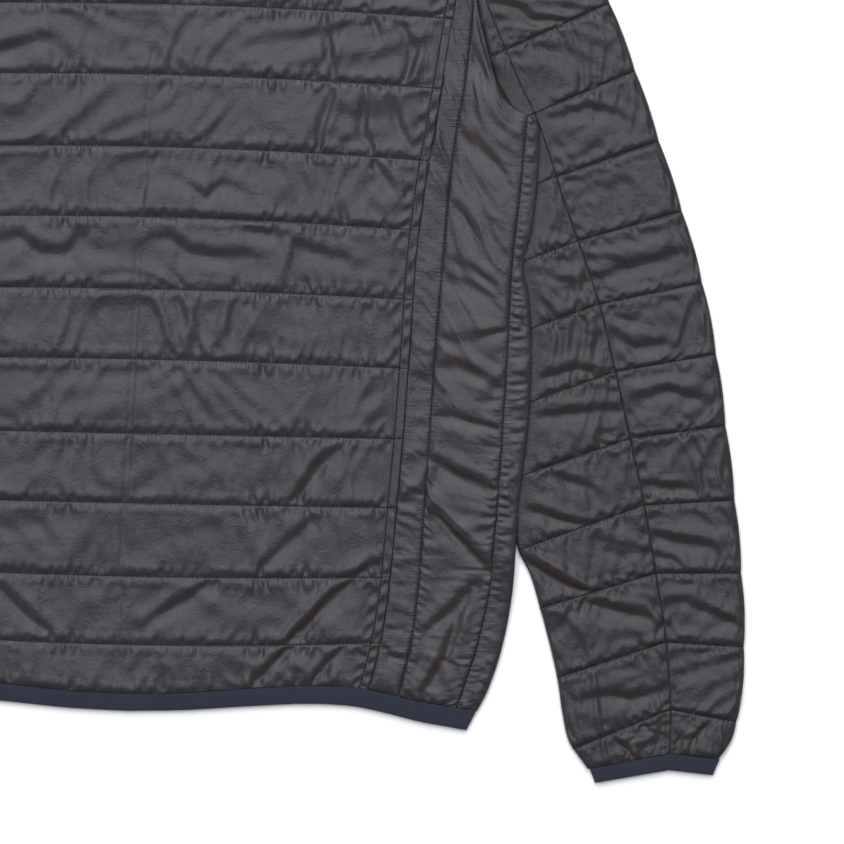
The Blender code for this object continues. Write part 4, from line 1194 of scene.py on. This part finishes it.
frontLook = {"columns": 70, "rows": 300, "edge": 8.3, "neckGap": 1.5}


def makeFront(side, label):
    look = frontLook
    across, share = np.meshgrid(np.linspace(0, 1, look["columns"]), np.linspace(0, 1, look["rows"]))
    across = mix(across, np.sin(across * np.pi / 2), 0.3)

    def top(x):
        return np.where(x < garment["neckHalf"], frontNeckLine(x), shoulderLine(x)) - look["neckGap"]

    x = look["edge"] + across * (bodyHalf(garment["midHeight"]) - look["edge"])
    for _ in range(5):
        height = mix(hemTop(x) + garment["seamGap"], top(x), share)
        x = look["edge"] + across * (bodyHalf(height) - garment["seamGap"] - look["edge"])
    acrossBack = x / bodyHalf(height)
    off = np.full(x.shape, 99.0)
    for atMiddle, atSeam in quiltRows:
        off = np.minimum(off, np.abs(height - mix(atMiddle, atSeam, acrossBack ** 2)))
    off = np.minimum(off, np.abs(bodyHalf(height) - x - garment["doubleStitch"]))
    marks = np.stack([x, off, np.zeros_like(x)], axis=-1)
    outer = layPoints(x, height, underGroove(off), side)
    inner = layPoints(x[::12, ::6], height[::12, ::6], garment["frontWall"], side)
    inner = np.concatenate([inner, layPoints(x[-1:, ::6], height[-1:, ::6], garment["frontWall"], side)])
    lastColumn = np.append(np.arange(0, look["rows"], 12), look["rows"] - 1)
    edge = layPoints(x[lastColumn, -1], height[lastColumn, -1], garment["frontWall"], side)
    inner = np.concatenate([inner, edge[:, None]], axis=1)
    piece = clothWall("frontCloth" + label, outer, inner, marks)
    dress(piece, nylon, "nylon", "front_" + label.lower())
    stitches = []
    for atMiddle, atSeam in quiltRows:
        if atMiddle < 600:
            fx = np.linspace(look["edge"] + 3, 0.97 * bodyHalf(atSeam), 80)
            fh = mix(atMiddle, atSeam, (fx / bodyHalf(atSeam)) ** 2)
            stitches.append(layPoints(fx, fh, 0.85, side))
    sew(piece, stitches)


# bindings

bindingShape = {"rows": 12, "columns": 190, "edgeInset": 6.0, "cuffWidth": 11, "cuffInset": 4.5,
                "cuffSplit": 0.6}


def bandFullness(share):
    return np.clip(np.minimum(share, 1 - share) / 0.12, 0, 1) ** 0.5 * 0.45 + 0.55


# the row that sews a binding on, from the distance below the binding's top edge
def bindingSeam(below):
    return -0.35 * np.exp(-((below - 1.7) / 0.9) ** 2)


def makeHemBinding():
    look = bindingShape
    share = np.linspace(0, 1, look["rows"])
    share = mix(share, 0.5 - 0.5 * np.cos(np.pi * share), 0.5)[:, None]
    foldX = mix(hemHalf[0], hemHalf[1], share)
    q = np.linspace(0, 1, look["columns"])[None]
    q = mix(q, np.sin(q * np.pi / 2), 0.4)
    underX = frontLook["edge"] + q * (foldX - frontLook["edge"])
    topX = (foldX * q)[:, -2::-1]
    lengthX = np.concatenate([underX, topX], axis=1)
    turn = roundOver(foldX - lengthX, look["edgeInset"])
    height = mix(hemFoot(lengthX), hemTop(lengthX), share)
    fullness = bandFullness(share)
    wave = 0.16 * puckers(lengthX, share * 0 + 0 * lengthX, 140, 9.0, 8.0) * (1 - share)
    below = (1 - share) * garment["bindingWidth"]
    wave += 0.22 * puckers(lengthX, below + 0 * lengthX, 150, 7.0, 7.0)
    topLevel = garment["backBase"] + garment["bindingThick"] * fullness + wave + bindingSeam(below)
    onTop = np.arange(lengthX.shape[1])[None] >= look["columns"]
    level = np.where(onTop, foldLevel + (topLevel - foldLevel) * turn,
                     foldLevel * (1 - turn) + (1 - fullness) * 0.5 * turn)
    outer = bothHalves(layPoints(lengthX, height, level))
    ends = []
    for s in (0, 1):
        foldIn = hemHalf[s] - garment["wallInset"]
        flat = np.linspace(frontLook["edge"], foldIn, 24)
        ix = np.concatenate([flat, np.linspace(foldIn, 0, 24)])
        iz = np.where(np.arange(48) < 24, garment["frontWall"], garment["backBase"])
        ends.append(bothHalves(layPoints(ix, mix(hemFoot(ix), hemTop(ix), s), iz)))
    piece = clothWall("hemBindingCloth", outer, np.stack(ends), np.zeros(outer.shape))
    dress(piece, bindingCloth, "binding", "hem_binding")


def makeCuffBinding(side, label):
    look = bindingShape
    upper, lower = (np.array(cuffLines[name]) for name in ("upper", "lower"))
    share = np.linspace(0, 1, look["rows"])
    share = mix(share, 0.5 - 0.5 * np.cos(np.pi * share), 0.5)
    numbers = mix(lower[None], upper[None], share[:, None])
    foldIn, seam, foldOut = numbers[:, None, 0:2], numbers[:, None, 2:4], numbers[:, None, 4:6]
    q = np.linspace(0, 1, 60)[None, :, None]
    q = mix(q, 0.5 - 0.5 * np.cos(np.pi * q), 0.6)
    split = look["cuffSplit"]
    path = np.where(q < split, mix(foldIn, seam, q / split),
                    mix(seam, foldOut, (q - split) / (1 - split)))
    fromEnd = np.minimum(np.linalg.norm(path - foldIn, axis=2), np.linalg.norm(path - foldOut, axis=2))
    turn = roundOver(fromEnd, look["cuffInset"])
    top = garment["backBase"] + garment["bindingThick"] * bandFullness(share[:, None])
    below = (1 - share[:, None]) * look["cuffWidth"]
    top = top + 0.2 * puckers(path[..., 0], below + 0 * path[..., 0], 160, 7.0, 6.0)
    top = top + bindingSeam(below)
    over = layPoints(path[..., 0], path[..., 1], foldLevel + (top - foldLevel) * turn, side)
    under = layPoints(path[..., 0], path[..., 1], foldLevel * (1 - turn), side)[:, -2::-1]
    outer = np.concatenate([over, under], axis=1)
    rings = []
    for row in (0, look["rows"] - 1):
        corners = [mix(foldIn[row, 0], seam[row, 0], 0.035), seam[row, 0],
                   mix(seam[row, 0], foldOut[row, 0], 0.95)]
        ring = [layPoints(*corner, garment["backBase"], side) for corner in corners]
        ring += [layPoints(*corner, garment["frontWall"], side) for corner in corners[::-1]]
        rings.append(np.stack(ring + ring[:1]))
    marks = np.zeros(outer.shape)
    piece = clothWall("cuffBindingCloth" + label, outer, np.stack(rings), marks, ring=True)
    dress(piece, bindingCloth, "binding", "cuff_binding_" + label.lower())


# collar

collarLook = {"height": 65.0, "taper": 0.94, "turn": 5.0, "columns": 60, "channelRows": 14, "seed": 91}


def makeCollar():
    look = collarLook
    half = garment["neckHalf"]
    angle = np.linspace(math.asin(frontLook["edge"] / half), math.pi / 2, look["columns"])
    frontX = half * np.sin(angle)
    backX = half * np.sin(np.linspace(math.pi / 2, 0, look["columns"]))[1:]
    x = np.concatenate([frontX, backX])
    isBack = np.arange(len(x)) >= look["columns"]
    base = np.where(isBack, shoulderLine(x), frontNeckLine(x)) + garment["seamGap"] * 3
    turn = roundOver(half - x, look["turn"])
    channel, share = rowsOfChannels(2, look["channelRows"])
    up = ((channel + share) / 2)[:, None]
    channelHeight = look["height"] / 2
    offLow, offHigh = share[:, None] * channelHeight, (1 - share[:, None]) * channelHeight
    run = np.concatenate([frontX, 2 * half - backX])[None]
    fat = loft(offLow, offHigh, run, look["seed"] + 60)
    thick = garment["seamThick"] + (garment["crownThick"] - garment["seamThick"]) * fat
    thick = thick + 0.9 * crumple(run, up * look["height"], look["seed"]) * (thick > 1.6) * 0.8
    gathers = puckers(run, offLow + 0 * run, look["seed"] + 3, 6.5)
    thick = thick + 0.5 * gathers * (1 - np.exp(-offLow / 1.5))
    thick = np.maximum(thick + dip(offLow) * (channel > 0)[:, None], 0.8)
    squeeze = np.where(x[None] > frontLook["edge"] + 1, mix(1.0, look["taper"], up), 1.0)
    nearest = np.minimum(offLow, offHigh) + 0 * run
    level = np.where(isBack[None], foldLevel + (garment["backBase"] + thick - foldLevel) * turn,
                     foldLevel * (1 - turn) + underGroove(nearest) * turn)
    marks = np.stack([run + 0 * up, nearest, np.zeros_like(nearest)], axis=-1)
    outer = bothHalves(layPoints(x[None] * squeeze, base[None] + up * look["height"], level))
    marks = np.concatenate([marks, marks[:, -2::-1]], axis=1)
    at = list(range(0, look["columns"] - 8, 6)) + list(range(look["columns"] + 6, len(x) - 1, 6))
    at.append(len(x) - 1)
    rims = []
    for row in (0, len(share) - 1):
        line = outer[row, at].copy()
        line[:, 2] = np.where(isBack[at], garment["backBase"], garment["frontWall"]) * mm
        rims.append(bothHalves(line))
    piece = clothWall("collarCloth", outer, np.stack(rims), marks)
    dress(piece, nylon, "nylon", "collar")
    sew(piece, [outer[look["channelRows"]]])


# zip

zipLook = {
    "edge": 8.2, "tapeInner": 3.2, "tape": (1.6, 2.4), "foot": 1.0, "head": 684.0,
    "teeth": (1.3, 2.3), "pitch": 2.6, "slider": (9.0, 12.0), "sliderAt": 672.0,
    "puller": (5.0, 30.0), "leastCut": 10.0, "toothAcross": (-0.7, 2.8), "toothHalf": 0.62,
}


# a small block between two corners in garment millimetres, narrower on its underside
def block(bm, low, high, taper=1.0):
    made = bmesh.ops.create_cube(bm, size=1.0)
    for vert in made["verts"]:
        squeeze = taper if vert.co.z < 0 else 1.0
        share = [vert.co.x * squeeze + 0.5, vert.co.y * squeeze + 0.5, vert.co.z + 0.5]
        x, height, level = (mix(a, b, s) for a, b, s in zip(low, high, share))
        vert.co = Vector((x, height - garment["middleHeight"], level)) * mm
    return made["verts"]


def makeZip():
    look = zipLook
    for side, label in ((1, "Right"), (-1, "Left")):
        rows = np.linspace(look["foot"], look["head"], 120)[:, None]
        length, shown = look["head"] - look["foot"], look["edge"] - look["tapeInner"]
        inner = look["tapeInner"]
        across = np.array([[inner, inner + 0.9, inner + 1.0, look["edge"]]])
        cord = np.array([[0.25, 0.25, 0.0, 0.0]])
        low = layPoints(across, rows, look["tape"][0] - cord * 0.5, side)
        high = layPoints(across, rows, look["tape"][1], side)
        piece = clothWall("zipTapeCloth" + label, low, high, np.zeros(low.shape))
        dress(piece, tapeCloth, "zip_tape", "zip_tape_" + label.lower())

    bm = bmesh.new()
    low, high = look["teeth"]
    count = int((look["head"] - look["foot"]) / look["pitch"])
    for i in range(count):
        for side in (1, -1):
            height = look["foot"] + 1.2 + (i + (0.5 if side < 0 else 0.0)) * look["pitch"]
            ends = sorted(side * end for end in look["toothAcross"])
            foot, head = height - look["toothHalf"], height + look["toothHalf"]
            block(bm, (ends[0], foot, low), (ends[1], head, high), 0.82)
    pieceFrom(bm, "zipTeethRow", plastic, "zip_teeth", "zip_teeth")

    bm = bmesh.new()
    width, length = look["slider"]
    at = look["sliderAt"]
    body = block(bm, (-width / 2, at - length / 2, 0.35), (width / 2, at + length / 2, 1.0), 0.86)
    for vert in body:
        if vert.co.y < (at - garment["middleHeight"]) * mm:
            vert.co.x *= 0.72
    bmesh.ops.bevel(bm, geom=bm.edges[:], offset=0.25 * mm, segments=2, affect="EDGES")
    block(bm, (-1.1, at - length * 0.36, 0.1), (1.1, at + length * 0.32, 0.45), 0.7)
    pieceFrom(bm, "zipSliderBody", enamel, "zip_slider", "zip_slider")

    width, length = look["puller"]
    head = at - look["slider"][1] / 2 - 0.4
    rows = np.linspace(head - length, head, 40)[:, None]
    across = np.linspace(-1, 1, 9)[None]
    narrow = np.sqrt(np.clip(1 - np.clip((head - length + 2.5 - rows) / 2.5, 0, 1) ** 2, 0.02, 1))
    x = across * narrow * width / 2
    rib = 0.08 * np.abs(across) ** 4
    piece = clothWall("zipPullerCloth", layPoints(x, rows + 0 * x, 0.12 + rib + 0 * x),
                      layPoints(x, rows + 0 * x, 0.86 + 0 * x), np.zeros(x.shape + (3,)))
    dress(piece, tapeCloth, "zip_tape", "zip_puller")


# laying the jacket

for side, label in ((1, "Right"), (-1, "Left")):
    makeFront(side, label)
    makeSleeve(side, label)
    makeCuffBinding(side, label)
    makeSidePanel(side, label)
    print("front, sleeve and side laid", label)
makeBackPanel()
makeHemBinding()
makeCollar()
makeZip()
print("back, hem, collar and zip laid")


# camera, light and floor

viewLook = {"centre": (202.8, 206.7), "width": 590.8, "roll": 0.02147, "distance": 6.0,
            "clothHeight": 0.006}


def makeCamera():
    camera = bpy.data.objects.new("camera", bpy.data.cameras.new("camera"))
    bpy.context.collection.objects.link(camera)
    x, height = viewLook["centre"]
    camera.location = (x * mm, (height - garment["middleHeight"]) * mm, viewLook["distance"])
    camera.rotation_euler = (0, 0, viewLook["roll"])
    camera.data.sensor_width = 36.0
    away = viewLook["distance"] - viewLook["clothHeight"]
    camera.data.lens = camera.data.sensor_width * away / (viewLook["width"] * mm)
    camera.data.clip_end = 50
    bpy.context.scene.camera = camera


def areaLight(name, place, aim, size, energy, colour=(1, 1, 1)):
    light = bpy.data.lights.new(name, "AREA")
    light.shape, light.size, light.size_y = "RECTANGLE", size[0], size[1]
    light.energy, light.color = energy, colour
    lamp = bpy.data.objects.new(name, light)
    bpy.context.collection.objects.link(lamp)
    lamp.location = place
    lamp.rotation_euler = (Vector(aim) - Vector(place)).to_track_quat("-Z", "Y").to_euler()


def makeStudio():
    bm = bmesh.new()
    bmesh.ops.create_grid(bm, x_segments=1, y_segments=1, size=3.0)
    floor = objectFrom(bm, "floor", False)
    floor.location.z = -0.0006
    floor.data.materials.append(newMaterial("paleFloor", {
        "Base Color": (0.9, 0.9, 0.9, 1), "Roughness": 0.9, "Specular IOR Level": 0.1})[0])
    areaLight("keyLight", (-0.5, 2.4, 4.9), (-0.5, 2.3, 0), (6.6, 5.6), 430, (0.93, 0.95, 1.0))
    areaLight("stripLight", (0.1, 3.2, 2.4), (0.15, -0.1, 0), (2.6, 0.5), 65)
    areaLight("fillLight", (-2.2, -1.2, 1.5), (0.1, -0.1, 0), (1.2, 1.2), 7)
    areaLight("rimLight", (2.3, -0.6, 1.1), (0.2, -0.1, 0), (0.8, 1.4), 2)
    world = bpy.data.worlds.new("studio")
    world.use_nodes = True
    world.node_tree.nodes["Background"].inputs[0].default_value = (1, 1, 1, 1)
    world.node_tree.nodes["Background"].inputs[1].default_value = 0.26
    bpy.context.scene.world = world
    bpy.context.scene.view_settings.view_transform = "Standard"


makeCamera()
makeStudio()
